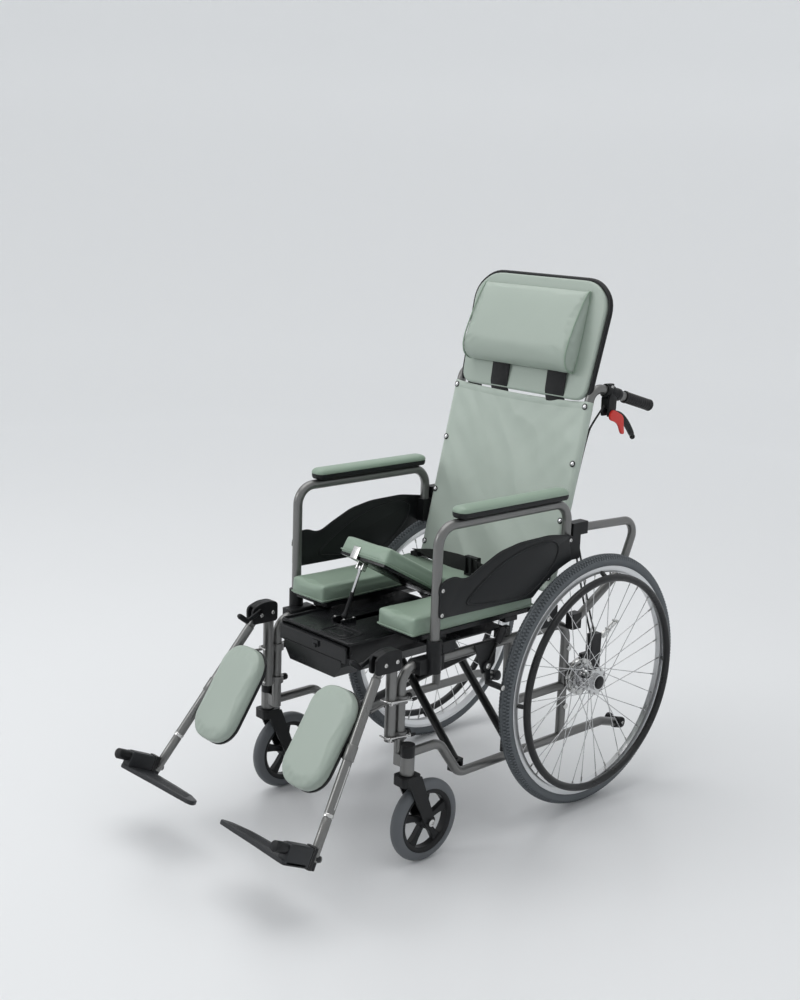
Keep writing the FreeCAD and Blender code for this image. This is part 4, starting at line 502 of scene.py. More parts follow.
def tyre_ring():
    made = bmesh.new()
    rings = []
    for step in range(TYRE_STEPS):
        turn = 2 * math.pi * step / TYRE_STEPS
        ring = []
        for lean in range(-126, 127, 4):
            reach = TYRE_SECTION - tread_depth(abs(lean), step)
            r = TYRE_RADIUS + reach * math.cos(math.radians(lean))
            x = WHEEL_X + reach * math.sin(math.radians(lean))
            ring.append(made.verts.new((x, r * math.sin(turn), AXLE_HEIGHT + r * math.cos(turn))))
        rings.append(ring)
    for here, there in zip(rings, rings[1:] + rings[:1]):
        for k in range(len(here) - 1):
            made.faces.new((here[k], here[k + 1], there[k + 1], there[k]))
    bmesh.ops.recalc_face_normals(made, faces=made.faces)
    return made


tyres = hang_pair("tyre_tread", tyre_ring(), "wheel", tyre_rubber, "tyre_rubber", "tyre", smooth=50)
print("tyre faces", len(tyres[0].data.polygons))

# %% [markdown]
# A wire spoke ends in a nipple, a small brass sleeve that sits in the rim and is turned to tension the wheel.
# At the hub the wire is bent and ends in a small head. Both follow the same lacing as the spokes,
# nine spokes to each of the four sets.

# %% Spoke nipples
def on_wheel(x, r, degrees):
    """A point of the left wheel, by its place along the axle, its distance from it and its turn from the top."""
    turn = math.radians(degrees)
    return Vector((x, r * math.sin(turn), AXLE_HEIGHT + r * math.cos(turn)))


nipples = []
for side in (-1, 1):
    for order, lean, flange in ((0, 60, 23.4), (1, -60, 17.6)):
        for index in range(9):
            turn = 40 * (index + order / 2 + (side + 1) / 8)
            head = on_wheel(WHEEL_X + side * flange, 29.0, turn + lean)
            end = on_wheel(WHEEL_X + side * 4, 261.8, turn)
            way = (head - end).normalized()
            nipples.append(rod([end, end + way * 3, end + way * 11], 2.0, sides=8))
            nipples.append(rod([head + Vector((1.3, 0, 0)), head - Vector((1.3, 0, 0))], 2.1, sides=8))
hang_pair("spoke_nipples", joined(*nipples), "wheel", plated_steel, "spoke_steel")
print("nipples per wheel", len(nipples) // 2)

# %% [markdown]
# The hub has a bright shell between its flanges and a black dust cap on its end. Beside it, towards the frame,
# sits the brake drum, which doesn't turn with the wheel. All three are turned on the lathe.
# Four pegs carry the handrim off the rim, and a thin bright lip runs round the rim where the tyre sits.

# %% Hubs, brake drums and handrim pegs
on_axle = Matrix.Translation((0, 0, AXLE_HEIGHT))
hub_pieces = (
    ("hub_dust_cap", [(0.01, 296.6), (9, 296.4), (13.5, 295.6), (15.6, 294.2), (16, 292.8)], 40,
     "wheel", black_nylon, "handrim_black"),
    ("hub_skin", [(17.2, 244.2), (24.6, 244.5), (26, 245.8), (25.6, 248), (24, 250.5), (24, 275.5), (25.6, 278),
                  (26, 280.2), (24.6, 281.5), (17.2, 281.8)], 48, "wheel", chrome_rod, "spoke_steel"),
    ("brake_drum", [(15, 237.9), (24, 238.3), (31, 238.2), (33, 237.6), (40.5, 237.6), (42.6, 238), (44.2, 237.2),
                    (44.6, 235.8), (44.6, 231), (45.6, 230), (45.6, 226.6), (44.4, 225.9)], 72,
     "frame", plated_steel, "brake_metal"))
for name, profile, steps, body, finish, slot in hub_pieces:
    hang_pair(name, turned(profile, steps), body, finish, slot, place=on_axle)
pegs = []
for turn in (0, 90, 180, 270):
    at_rim, at_handrim = on_wheel(WHEEL_X, 275.5, turn), on_wheel(296, 254.7, turn)
    pegs.append(rod([at_rim.lerp(at_handrim, t) for t in (0.47, 0.49, 0.6, 0.72, 0.8)], 5.4, sides=14))
hang_pair("handrim_pegs", joined(*pegs), "wheel", handrim_black, "handrim_black")
rim_ring = turned([(264.5, 277.6), (268.0, 278.2), (272.0, 277.9), (278.5, 277.3), (279.6, 276.0)], 240)
hang_pair("rim_lip", rim_ring, "wheel", wheel_alloy, "wheel_alloy", place=on_axle)

# %% [markdown]
# The casters are moulded in two materials: a grey rubber tread and a black core with five arms.
# The tread and the hub are turned, the arms are cut from a plate that widens towards the rim.
# Bright axle bolts close the fork, and a screw helper makes them, since screws show all over the chair.

# %% Casters
OUTWARD, INWARD = (1, 0, 0), (-1, 0, 0)
CASTER_X, CASTER_AXLE = 243, (-513, 93)


def screw(place, direction, radius, height):
    """A domed screw head with a socket, standing on place."""
    profile = [(radius, 0), (radius, height * 0.45), (radius * 0.74, height * 0.93), (radius * 0.46, height),
               (radius * 0.42, height * 0.45), (0.01, height * 0.4)]
    return aimed(turned(profile, 20), place, direction)


tread_half = [(72.4, 12.6), (76, 13.4), (82, 13.3), (87, 11.6), (90.6, 8.2), (92.4, 4.2), (93, 0)]
tread = turned([(r, -x) for r, x in tread_half] + [(r, x) for r, x in reversed(tread_half[:-1])], 128, closed=True)
core_ring = turned([(72.2, -12.2), (69, -13), (65, -11.8), (61.5, -8), (61.5, 8), (65, 11.8), (69, 13), (72.2, 12.2)],
                   96, closed=True)
core_hub = turned([(5.4, -15.4), (13, -15.4), (17, -12), (17, 12), (13, 15.4), (5.4, 15.4)], 40, closed=True)
arms = []
for index in range(5):
    arm = eased(slab(((-6, 15), (6, 15), (7, 40), (11, 63.5), (-11, 63.5), (-7, 40)), -7, 7), 2.2)
    arm.transform(Matrix.Rotation(math.radians(72 * index), 4, "X"))
    arms.append(arm)
at_caster = Matrix.Translation((CASTER_X, *CASTER_AXLE))
hang_pair("caster_tread", tread, "caster_wheel", caster_rubber, "caster_rubber", "caster_wheel", place=at_caster)
hang_pair("caster_core", joined(core_ring, core_hub, *arms), "caster_wheel", black_nylon, "black_nylon",
          place=at_caster)
bolts = joined(screw((268.6, *CASTER_AXLE), OUTWARD, 8.2, 3.2), screw((217.4, *CASTER_AXLE), INWARD, 8.2, 3.2),
               aimed(turned([(8.4, 0), (8.4, 5)], 6), (264, *CASTER_AXLE), OUTWARD))
hang_pair("caster_axle_bolts", bolts, "caster_fork", plated_steel, "plated_steel")

# %% [markdown]
# The pads are foam blocks in a vinyl cover. A cover is sewn a little tight, so the foam pushes it out
# between the seams and the flat sides crown. The same is done here: a slightly small block is turned into
# an even grid, its underside is glued down, and a cloth simulation with air pressure inside blows it up.
# How far any point may move is capped, so that the pad stays a pad.

# %% Blow up a cushion as cloth
CLOTH_STEPS = 20


def solved(piece):
    """The mesh of a piece as its modifiers leave it. The modifiers are then taken off."""
    mesh = bpy.data.meshes.new_from_object(piece.evaluated_get(bpy.context.evaluated_depsgraph_get()))
    piece.modifiers.clear()
    return mesh


def puffed(name, shape, glued, pressure, voxel, most):
    """Blows a closed shape up, no point by more than most millimetres. Where glued is true, it stays in place."""
    foam = bpy.data.objects.new(name + "_foam", bpy.data.meshes.new(name + "_foam"))
    shape.to_mesh(foam.data)
    shape.free()
    foam.data.transform(Matrix.Scale(0.001, 4))
    scene.collection.objects.link(foam)
    grid = foam.modifiers.new("even_grid", "REMESH")
    grid.mode = "VOXEL"
    grid.voxel_size = voxel / 1000
    foam.data = solved(foam)
    start = [v.co.copy() for v in foam.data.vertices]
    glue = foam.vertex_groups.new(name="glued")
    glue.add([k for k, co in enumerate(start) if glued(co * 1000)], 1.0, "REPLACE")
    cloth = foam.modifiers.new("cover", "CLOTH")
    cloth.settings.quality = 5
    cloth.settings.use_pressure = True
    cloth.settings.uniform_pressure_force = pressure
    cloth.settings.vertex_group_mass = "glued"
    cloth.settings.effector_weights.gravity = 0
    cloth.point_cache.frame_start = 1
    cloth.point_cache.frame_end = CLOTH_STEPS
    for step in range(CLOTH_STEPS):
        scene.frame_set(step + 1)
    blown = solved(foam)
    for point, before in zip(blown.vertices, start):
        shift = point.co - before
        if shift.length > most / 1000:
            shift = shift.normalized() * most / 1000
        point.co = before + shift
    foam.data = blown
    scene.frame_set(1)
    made = bmesh.new()
    made.from_mesh(foam.data)
    made.transform(Matrix.Scale(1000, 4))
    bpy.data.objects.remove(foam)
    bmesh.ops.smooth_vert(made, verts=made.verts, factor=0.4, use_axis_x=True, use_axis_y=True, use_axis_z=True)
    print(name, "has", len(made.verts), "points")
    return made


def soften(*pieces):
    """Adds one subdivision to each piece."""
    for piece in pieces:
        smoother = piece.modifiers.new("finer", "SUBSURF")
        smoother.levels = 1
        smoother.render_levels = 1


# %% [markdown]
# The seat cushion is shaped like a U, open at the front, where the flap over the commode lies.
# Its corners are rounded in plan, and only its upper edges are eased before it is blown up.

# %% Seat cushion
PAD_CORNER, PAD_TOP, PAD_SHOULDER = 7, 538.0, 530


def filleted(points, radius, steps=5):
    """Rounds the corners of a closed outline, each by radius or by what its sides allow."""
    made = []
    for k, point in enumerate(points):
        corner = Vector(point)
        back = Vector(points[k - 1]) - corner
        ahead = Vector(points[(k + 1) % len(points)]) - corner
        start = corner + back.normalized() * min(radius, back.length * 0.45)
        end = corner + ahead.normalized() * min(radius, ahead.length * 0.45)
        for s in range(steps + 1):
            t = s / steps
            made.append(start * (1 - t) ** 2 + corner * 2 * t * (1 - t) + end * t ** 2)
    return made


def seat_foam(name, outline, foot, glued_to):
    """A cushion of the seat that stands on the height foot and is glued up to the height glued_to."""
    made = slab(filleted(outline, PAD_CORNER), foot, PAD_TOP, "xy")
    eased(made, 5, where=lambda edge: all(v.co.z > PAD_SHOULDER for v in edge.verts))
    return puffed(name, made, lambda p: p.z < glued_to, pressure=2.5, voxel=4.0, most=1.8)


seat_edge = [(-207, -531), (-93, -531), (-93, -257), (93, -257), (93, -531), (207, -531), (207, -153), (-207, -153)]
seat_shape = seat_foam("seat_pad", seat_edge, 498.5, 506)
# The seat takes the darker vinyl, whose darkness is painted shade.
seat_pad = hang("seat_pad", seat_shape, "frame", sage_vinyl_painted_shade, "sage_vinyl", ALL_SMOOTH)
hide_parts("seat_cushion")
soften(seat_pad)

# %% [markdown]
# Round the foot of each pad runs a welt, the thin roll of vinyl in which the cover is sewn to its base.
# It is a bar of vinyl that follows the outline of the pad, one millimetre outside it.

# %% Seat welt
def welt(outline, height):
    return rod([(x, y, height) for x, y in filleted(outline, PAD_CORNER)], 1.5, closed=True, sides=8)


seat_welt_line = [(-208, -532), (-92, -532), (-92, -258), (92, -258), (92, -532), (208, -532), (208, -152),
                  (-208, -152)]
# The welt also takes the darker vinyl, as painted shade along the seam.
hang("seat_welt", welt(seat_welt_line, 504.5), "frame", sage_vinyl_painted_shade, "sage_vinyl", ALL_SMOOTH)

# %% [markdown]
# The middle of the seat is a flap that lifts off the commode. Its cushion is made flat, like the seat,
# and then turned about its hinge to where it stands in the photograph, propped open.
# Under the cushion are a black board, the hinge leaf and a bright bracket for the prop.

# %% Seat flap
def about(point, degrees):
    """A turn about a line along X through a point given as (y, z)."""
    place = Vector((0, point[0], point[1]))
    return Matrix.Translation(place) @ Matrix.Rotation(math.radians(degrees), 4, "X") @ Matrix.Translation(-place)


raised = about((-274, 500), -29)
flap_edge = [(-75, -531), (75, -531), (75, -285), (-75, -285)]
flap_shape = seat_foam("flap_pad", flap_edge, 500.0, 507)
# The flap takes the darker vinyl, whose darkness is painted shade.
flap_pad = hang("flap_pad", flap_shape, "seat_flap", sage_vinyl_painted_shade, "sage_vinyl", ALL_SMOOTH, raised)
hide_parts("seat_flap")
soften(flap_pad)
flap_welt = welt([(-76, -532), (76, -532), (76, -284), (-76, -284)], 505.5)
hang("flap_welt", flap_welt, "seat_flap", sage_vinyl_painted_shade, "sage_vinyl", ALL_SMOOTH, raised)
flap_board = joined(block((-73, -528, 494), (73, -288, 501), 1.5),
                    rod([(-16, -274, 500), (16, -274, 500)], 7.8, sides=24),
                    block((-16, -306, 496), (16, -274, 501), 1))
hang("flap_board", flap_board, "seat_flap", black_moulding, "black_moulding", place=raised)
bracket = joined(block((-33, -535, 492), (-11, -532, 520), 0.8), block((-33, -533.5, 491), (-11, -506, 494), 0.8),
                 block((-33, -507, 475), (-29, -493, 494), 0.8), block((-15, -507, 475), (-11, -493, 494), 0.8),
                 rod([(-34.5, -500, 480), (-9.5, -500, 480)], 3.2))
hang("prop_bracket", bracket, "seat_flap", plated_steel, "plated_steel", place=raised)

# %% [markdown]
# The prop is a bright rod with a ball at its upper end and a black sleeve over its lower half.
# Both are turned from one section each and pointed down from the bracket to the slot in the deck.

# %% Flap prop
PROP_LEAN = math.radians(23)
prop_top = raised @ Vector((-22, -500, 480))
prop_way = Vector((0, -math.sin(PROP_LEAN), -math.cos(PROP_LEAN)))
stem = [(0.01, -6.2), (3.6, -6.0), (5.6, -4.2), (6.2, 0), (5.6, 4.2), (4.2, 7.5), (3.7, 10), (3.7, 66), (3.2, 67),
        (0.01, 67)]
sleeve = [(3.8, 57), (4.9, 57.6), (5.1, 60.5), (4.5, 63.5), (4.5, 104), (5.6, 107.5), (6.7, 111), (6.7, 114.5),
          (5.4, 117.6), (0.01, 118.4)]
prop_stem = hang("prop_stem", aimed(turned(stem, 28), prop_top, prop_way), "flap_prop", chrome_rod, "chrome_rod")
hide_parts("flap_prop")
hang("prop_sleeve", aimed(turned(sleeve, 28), prop_top, prop_way), "flap_prop", black_nylon, "chrome_rod")

# %% [markdown]
# An armrest pad has a sage cushion on a black base that shows as a dark band under it.
# It is stacked from rounded rectangles that draw in towards the top and the foot,
# and its crown falls off a little towards both ends.

# %% Armrest pads
ARM_HALF = 174


def round_rect(half_a, half_b, corner, inset, steps=8):
    a, b = half_a - inset, half_b - inset
    r = max(0.4, min(corner - inset, a - 0.05, b - 0.05))
    points = []
    for k, (sa, sb) in enumerate(((1, 1), (-1, 1), (-1, -1), (1, -1))):
        for s in range(steps + 1):
            turn = (k + s / steps) * math.pi / 2
            points.append((sa * (a - r) + r * math.cos(turn), sb * (b - r) + r * math.sin(turn)))
    return points


def skinned(rings):
    """The shape whose skin runs from ring to ring of points and is closed at both ends."""
    made = bmesh.new()
    rings = [[made.verts.new(point) for point in ring] for ring in rings]
    for here, there in zip(rings, rings[1:]):
        for k in range(len(here)):
            after = (k + 1) % len(here)
            made.faces.new((here[k], here[after], there[after], there[k]))
    made.faces.new(rings[0])
    made.faces.new(rings[-1])
    bmesh.ops.recalc_face_normals(made, faces=made.faces)
    return made


def stacked(half_a, half_b, corner, levels):
    """Rounded rectangles, each drawn in by an inset, one above the other and joined to a closed skin."""
    return skinned([[(a, b, height) for a, b in round_rect(half_a, half_b, corner, inset)]
                    for inset, height in levels])


def arm_place(shape, crown):
    """Lets the top of a pad fall by crown towards its ends and sets it on the armrest."""
    for v in shape.verts:
        v.co.z -= crown * max(0.0, v.co.z - 12) / 20 * abs(v.co.y / ARM_HALF) ** 2.5
    bmesh.ops.triangulate(shape, faces=[f for f in shape.faces if len(f.verts) > 4])
    shape.transform(Matrix.Translation((235, -272, 752.4)))
    return shape


base_levels = [(7, 0), (3, 1.2), (1, 4), (0.2, 7), (0, 12.4), (1.2, 13.6), (6, 13.7)]
cushion_levels = [(2.5, 12.8), (0.5, 13.6), (0, 15), (0.2, 18), (0.9, 21), (2.6, 24), (5.6, 26.8), (9.6, 28.7),
                  (14, 29.6), (18, 29.9), (20.5, 30)]
arm_base = arm_place(stacked(21.6, 173.6, 17, base_levels), 0)
arm_cushion = arm_place(stacked(22, ARM_HALF, 17.5, cushion_levels), 5)
hang_pair("armrest_base", arm_base, "armrest", black_nylon, "black_nylon")
# The armrest cushions take the darker vinyl, whose darkness is painted shade.
arm_cushions = hang_pair("armrest_cushion", arm_cushion, "armrest", sage_vinyl_painted_shade, "sage_vinyl", "armrest_pad",
                         ALL_SMOOTH)

# %% [markdown]
# The skirt guard keeps clothes off the wheel. It is a moulded black panel whose rear edge follows the tyre,
# stiffened by a raised field in the shape of a D. The field is a flat step with a rounded ridge along its edge.

# %% Skirt guards
def round_cut(radius, start, end, steps=14):
    """Points on a circle round the axle, from one fore-and-aft place to another."""
    first, last = (math.asin(y / radius) for y in (start, end))
    turns = [first + (last - first) * s / steps for s in range(steps + 1)]
    return [(radius * math.sin(t), AXLE_HEIGHT + radius * math.cos(t)) for t in turns]


def drawn_in(outline, share):
    """The outline drawn in towards its middle, to a share of its size."""
    middle = sum(outline, Vector((0, 0))) / len(outline)
    return [middle.lerp(p, share) for p in outline]


guard_top = [(-497, 540), (-497, 613), (-484, 627), (-454, 630), (-432, 621), (-410, 621), (-379, 637), (-318, 663),
             (-255, 674), (-156, 676), (-76, 664)]
guard_line = filleted(guard_top, 16) + round_cut(311.5, -76, -204.3)
guard = eased(slab(guard_line, 246.5, 249.7), 1.0, 2)
field_line = curvy([(-424, 562), (-403, 584), (-358, 613), (-302, 642), (-234, 660), (-168, 666), (-138, 660),
                    (-124, 645), (-130, 622), (-152, 594), (-186, 567), (-224, 547), (-300, 549), (-375, 556)], 3)
ridge = rod([(249.3, y, z) for y, z in field_line], 2.6, closed=True, sides=10)
plateau = eased(slab(drawn_in(field_line, 0.955), 249.2, 250.3), 0.6, 2)
inner_ridge = rod([(246.8, y, z) for y, z in field_line], 2.4, closed=True, sides=10)
guard_edge = rod([(248.4, y, z) for y, z in guard_line[6:66]], 2.3, sides=8)
hang_pair("guard_panel", joined(guard, ridge, inner_ridge, plateau, guard_edge), "armrest", guard_plastic,
          "guard_plastic", "skirt_guard")
guard_screws = joined(*[screw((249.6, y, z), OUTWARD, 4.6, 2.4) for y, z in ((-490, 606), (-490, 552), (-85, 655))])
hang_pair("guard_screws", guard_screws, "armrest", plated_steel, "plated_steel")

# %% [markdown]
# The calf pads are oblong cushions on a black shell. Both are stacked rounded rectangles, and the cushion
# is blown up like the seat. They are made lying flat and then leaned against the shin.

# %% Calf pads
calf_lean = Matrix.Rotation(math.radians(-33), 4, "X") @ Matrix.Rotation(math.pi / 2, 4, "X")
calf_frame = Matrix.Translation((159, -724, 302)) @ calf_lean
calf_foam = stacked(65, 112, 53, [(2, 8), (0, 10), (0, 26), (1.2, 30), (4, 33), (10, 34.6), (22, 35.2)])
calf_shape = puffed("calf_pad", calf_foam, lambda p: p.z < 12, pressure=3.0, voxel=4.0, most=1.6)
calf_pads = hang_pair("calf_cushion", calf_shape, "leg", sage_vinyl, "sage_vinyl", "calf_pad", ALL_SMOOTH, calf_frame)
soften(*calf_pads)
calf_shell = stacked(66, 113, 54, [(14, 0.4), (4, 0.8), (1.2, 3), (0, 6), (0, 9), (1.5, 10.4), (5, 10.5)])
hang_pair("calf_shell", calf_shell, "leg", black_nylon, "black_nylon", place=calf_frame)

# %% [markdown]
# The back is a sling: coated fabric stretched between two posts and folded round them.
# It is a grid of points that starts behind one post, goes round its outside, crosses with a slight sag
# and goes round the other. Soft wrinkles run down from the top corners, where the rivets pull.
# The hems at the top and bottom stand a little proud.

# %% Back sling
POST_X, WRAP = 207, 11.4
SLING_FOOT, SLING_RISE = 58, 448
back_frame = Matrix.Translation((0, -116, 468)) @ Matrix.Rotation(math.radians(-13.3), 4, "X")


def sling_sag(x, along, h, across):
    """How far the fabric lies behind the straight line between the posts, at the share h of its height."""
    slant = Vector((x * 0.8 + along * 0.45, along * 0.5 - abs(x) * 0.3, 0))
    wide, fine = (noise.noise(slant / size + Vector((0, 0, seed))) for size, seed in ((95, 3.1), (60, 9.7)))
    fold = wide * 8.0 + abs(fine) * 4.0
    corner = (SLING_FOOT + SLING_RISE - along) + (POST_X - abs(x))
    pull = math.sin((abs(x) - along) / 11) * math.exp(-corner / 110) * 2.6
    hang_down = 5.5 * across ** 0.8 * math.sin(math.pi * min(1.0, 0.15 + h * 0.85))
    return hang_down + (fold + pull) * min(1.0, across * 4)


def sling():
    wraps = [math.radians(150 - 12.5 * k) for k in range(12)]
    line = [(POST_X + WRAP * math.sin(t), -WRAP * math.cos(t)) for t in wraps]
    flat = [(POST_X - 2 * POST_X * k / 100, -WRAP) for k in range(101)]
    line = line + flat + [(-x, n) for x, n in reversed(line)]
    heights = [0, 0.012, 0.03, 0.034, 0.038, *[0.05 + 0.9 * k / 80 for k in range(81)], 0.962, 0.966, 0.97, 0.988, 1]
    made = bmesh.new()
    rows = []
    for h in heights:
        hem = -0.9 if h < 0.033 or h > 0.967 else 0.0
        row = []
        for x, n in line:
            across = max(0.0, 1 - (x / POST_X) ** 2)
            along = SLING_FOOT + h * (SLING_RISE - 8 * across ** 0.7)
            sag = sling_sag(x, along, h, across) if n < 0 else 0
            row.append(made.verts.new((x, n + sag + hem, along)))
        rows.append(row)
    for low, high in zip(rows, rows[1:]):
        for k in range(len(line) - 1):
            made.faces.new((low[k], low[k + 1], high[k + 1], high[k]))
    bmesh.ops.recalc_face_normals(made, faces=made.faces)
    return made


back_sling = hang("back_sling", sling(), "backrest", sage_sheet, "sage_sheet", ALL_SMOOTH, back_frame)
thick = back_sling.modifiers.new("fabric", "SOLIDIFY")
thick.thickness = 0.0008
thick.offset = 0
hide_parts("back_sheet")

# %% [markdown]
# Four rivets with domed heads hold the sling to each post. Under each head lies a dark cup washer,
# which spreads the pull so that the fabric doesn't tear.

# %% Sling rivets and washers
dome = [(5.4, 0.6), (5.2, 1.8), (4.4, 3.0), (2.8, 3.8), (1.2, 4.1), (0.01, 4.1)]
washer = [(7.6, 0), (7.4, 0.9), (6.4, 1.2), (4.8, 1.2)]
back_front = back_frame.to_3x3() @ Vector((0, -1, 0))
rivet_places = [back_frame @ Vector((POST_X, -12.0, along)) for along in (92, 226, 360, 494)]
rivets = joined(*[aimed(turned(dome, 24), place, back_front) for place in rivet_places])
washers = joined(*[aimed(turned(washer, 24), place, back_front) for place in rivet_places])
rivet_pair = hang_pair("sling_rivets", rivets, "backrest", chrome_rod, "plated_steel")
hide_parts("back_rivets")
hang_pair("sling_washers", washers, "backrest", black_nylon, "plated_steel")

# %% [markdown]
# Above the sling stands the headrest: a padded panel with a black edging strip round its sides and top.
# The panel is cut to its outline and its edges are rounded well, since it is foam under vinyl.

# %% Headrest panel
panel_line = filleted([(-198, 500), (-212, 740), (-164, 784), (170, 784), (217, 740), (208, 500)], 34)
panel = eased(slab(drawn_in(panel_line, 0.975), -17.0, -2.0, "xz"), 7, 5)
head_panel = hang("head_panel", panel, "backrest", sage_vinyl, "sage_vinyl", place=back_frame)
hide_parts("headrest_panel")
edging = rod([(x, -4.0, z) for x, z in panel_line[3:-3]], 5.6, sides=14)
hang("head_edging", edging, "backrest", black_nylon, "black_nylon", ALL_SMOOTH, back_frame)

# %% [markdown]
# The pillow is a wedge that is thickest where it meets the neck. It is blown up like the other cushions.
# A thin roll of vinyl pipes the seam round each of its ends, in the darker vinyl, so that the seam shows as a line of
# painted shade.

# %% Pillow
pillow_line = [(-17.5, 757), (-28, 756), (-40, 722), (-54, 668), (-63, 622), (-64, 594), (-55, 573), (-40, 563),
               (-17.5, 561)]
end_line = filleted(pillow_line, 14)
pillow_block = eased(slab(end_line, -168, 162), 3, 2)
pillow_shape = puffed("pillow", pillow_block, lambda p: p.y > -19, pressure=3.0, voxel=4.5, most=2.2)
pillow = hang("pillow", pillow_shape, "backrest", sage_vinyl, "sage_vinyl", ALL_SMOOTH, back_frame)
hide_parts("head_pillow")
soften(pillow)
# The piping's darker green is painted shade for the crease at the seam.
for side, name in ((-1, "right"), (1, "left")):
    piping = rod([(side * 163.4 - 3.0, y, z) for y, z in drawn_in(end_line, 0.985)], 1.9, closed=True, sides=10)
    hang("pillow_piping_" + name, piping, "backrest", sage_vinyl_painted_shade, "sage_vinyl", ALL_SMOOTH, back_frame)

# %% [markdown]
# Two straps of hook-and-loop webbing hold the pillow. A strap is a ribbon, a flat section with slightly
# rounded edges, that runs down over the panel and in behind the sling.

# %% Pillow straps
RIBBON_SECTION = ((-0.5, -0.3), (-0.48, -0.5), (0.48, -0.5), (0.5, -0.3), (0.5, 0.3), (0.48, 0.5), (-0.48, 0.5),
                  (-0.5, 0.3))


def ribbon(points, widths, thick):
    """A flat band along points. Each width is the vector from one edge of the band to the other."""
    rings = []
    for k, (point, width) in enumerate(zip(points, widths)):
        run = (points[min(k + 1, len(points) - 1)] - points[max(k - 1, 0)]).normalized()
        out = run.cross(width).normalized() * thick
        rings.append([point + width * w + out * t for w, t in RIBBON_SECTION])
    return skinned(rings)


strap_way = curvy([(-24, 572), (-23, 556), (-20.5, 535), (-19, 516), (-12, 503), (-6, 492)], 2, closed=False)
straps = []
for low, high in ((-91, -36), (85, 143)):
    strap_line = [Vector(((low + high) / 2, n, along)) for n, along in strap_way]
    straps.append(ribbon(strap_line, [Vector((high - low, 0, 0))] * len(strap_line), 3.0))
hang("pillow_straps", joined(*straps), "backrest", black_webbing, "black_webbing", place=back_frame)

# %% [markdown]
# The lap belt is black webbing that bows forward behind the seat. It is a ribbon swept along an arc,
# with the slide that sets its length threaded on it and both ends turned down to the seat.

# %% Lap belt
BELT_HALF, BELT_WIDTH, BELT_STEPS = 176, 38, 60
belt_line = []
belt_widths = []
for k in range(BELT_STEPS + 1):
    x = -BELT_HALF + 2 * BELT_HALF * k / BELT_STEPS
    bow = max(0.0, 1 - (x / BELT_HALF) ** 2)
    lean = math.radians(66) * abs(x / BELT_HALF) ** 1.3
    ripple = noise.noise(Vector((x / 50, 0, 0))) * 2
    belt_line.append(Vector((x, -161 - 33 * bow + ripple, 549 + 17 * bow ** 1.4)))
    belt_widths.append(Vector((0, math.sin(lean), -math.cos(lean))) * BELT_WIDTH)
belt = hang("belt_webbing", ribbon(belt_line, belt_widths, 2.2), "frame", black_webbing, "black_webbing")
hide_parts("lap_belt")
belt_ends = joined(*[block((low, -178, 538.5), (high, -144, 550), 1.4) for low, high in ((-182, -158), (158, 182))])
hang("belt_ends", belt_ends, "frame", black_webbing, "black_webbing")
slide = joined(block((26, -200, 541), (31, -188, 588), 1.6), block((61, -196, 541), (66, -184, 588), 1.6),
               block((26, -199, 583), (66, -186, 588), 1.6), block((26, -199, 541), (66, -186, 545), 1.4),
               block((42, -200, 542), (49, -196, 587), 1.2))
hang("belt_slide", slide, "frame", black_nylon, "black_webbing")

# %% [markdown]
# Each push handle carries a rubber grip with a collar at each end and ribs between them, for the hand.
# It is turned with its ribs and pointed along the handle.

# %% Push grips
RIB_PITCH = 7.4
bend_point = Vector((207, 9.15, 997.4))
handle_end = Vector((231, 192, 942))
handle_way = (handle_end - bend_point).normalized()
ribs = [(11.2, 17), (13.4, 17.2), (14.6, 18.5), (14.6, 23), (13.0, 24.4)]
for k in range(10):
    ribs += [(r, along + RIB_PITCH * k) for r, along in ((12.9, 26.4), (13.7, 27.4), (13.7, 31.2), (12.9, 32.2))]
ribs += [(13.6, 101), (14.2, 102.6), (14.2, 105.6), (12.6, 107.8), (8, 108.6), (0.01, 108.6)]
grip = aimed(turned(ribs, 48), handle_end - handle_way * 104, handle_way)
grips = hang_pair("grip_sleeve", grip, "backrest", grip_rubber, "grip_rubber")
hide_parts("push_grips")

# %% [markdown]
# A clamp on each handle holds the brake lever. It is a turned collar with two cheeks that take the lever
# between them, a yoke that joins the cheeks and an ear for the clamping screw.

# %% Lever clamps
CLAMP_Y = 60
clamp_at = bend_point + handle_way * ((CLAMP_Y - bend_point.y) / handle_way.y)
collar_line = [(11.3, -14), (14.4, -14), (15.8, -12.6), (15.8, -2), (15.2, -1.2), (15.2, 1.2), (15.8, 2),
               (15.8, 12.6), (14.6, 14), (13.6, 15), (13.6, 24), (14.6, 25), (14.6, 34), (13.4, 36), (11.3, 36)]
collar = aimed(turned(collar_line, 40), clamp_at, handle_way)
cheek_line = ((47, 925), (73, 925), (74, 946), (74, 966), (66, 976), (52, 980), (46, 966))
cheeks = [eased(slab(cheek_line, low, high), 2.2) for low, high in ((204.6, 211.2), (222.8, 229.4))]
yoke = eased(slab(((46.5, 945), (73.5, 945), (73, 964), (64, 973), (54, 976), (46.5, 966)), 206, 228), 2)
ear = block((211, 51, 974), (224, 69, 1001), 3)
housing = hang_pair("lever_clamp", joined(collar, yoke, ear, *cheeks), "backrest", black_nylon, "black_nylon")
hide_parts("lever_housings")
clamp_screws = joined(screw((229.2, 62, 936), OUTWARD, 4.4, 2.4), screw((204.8, 62, 936), INWARD, 4.4, 2.4),
                      screw((223.6, CLAMP_Y, 993), OUTWARD, 4.6, 2.6))
hang_pair("clamp_screws", clamp_screws, "backrest", plated_steel, "plated_steel")

# %% [markdown]
# The brake lever hooks down and back, within reach of the fingers, and ends in a ball.
# The red trigger beside it locks the brake. Both are cut from plate along a smooth outline and rounded.

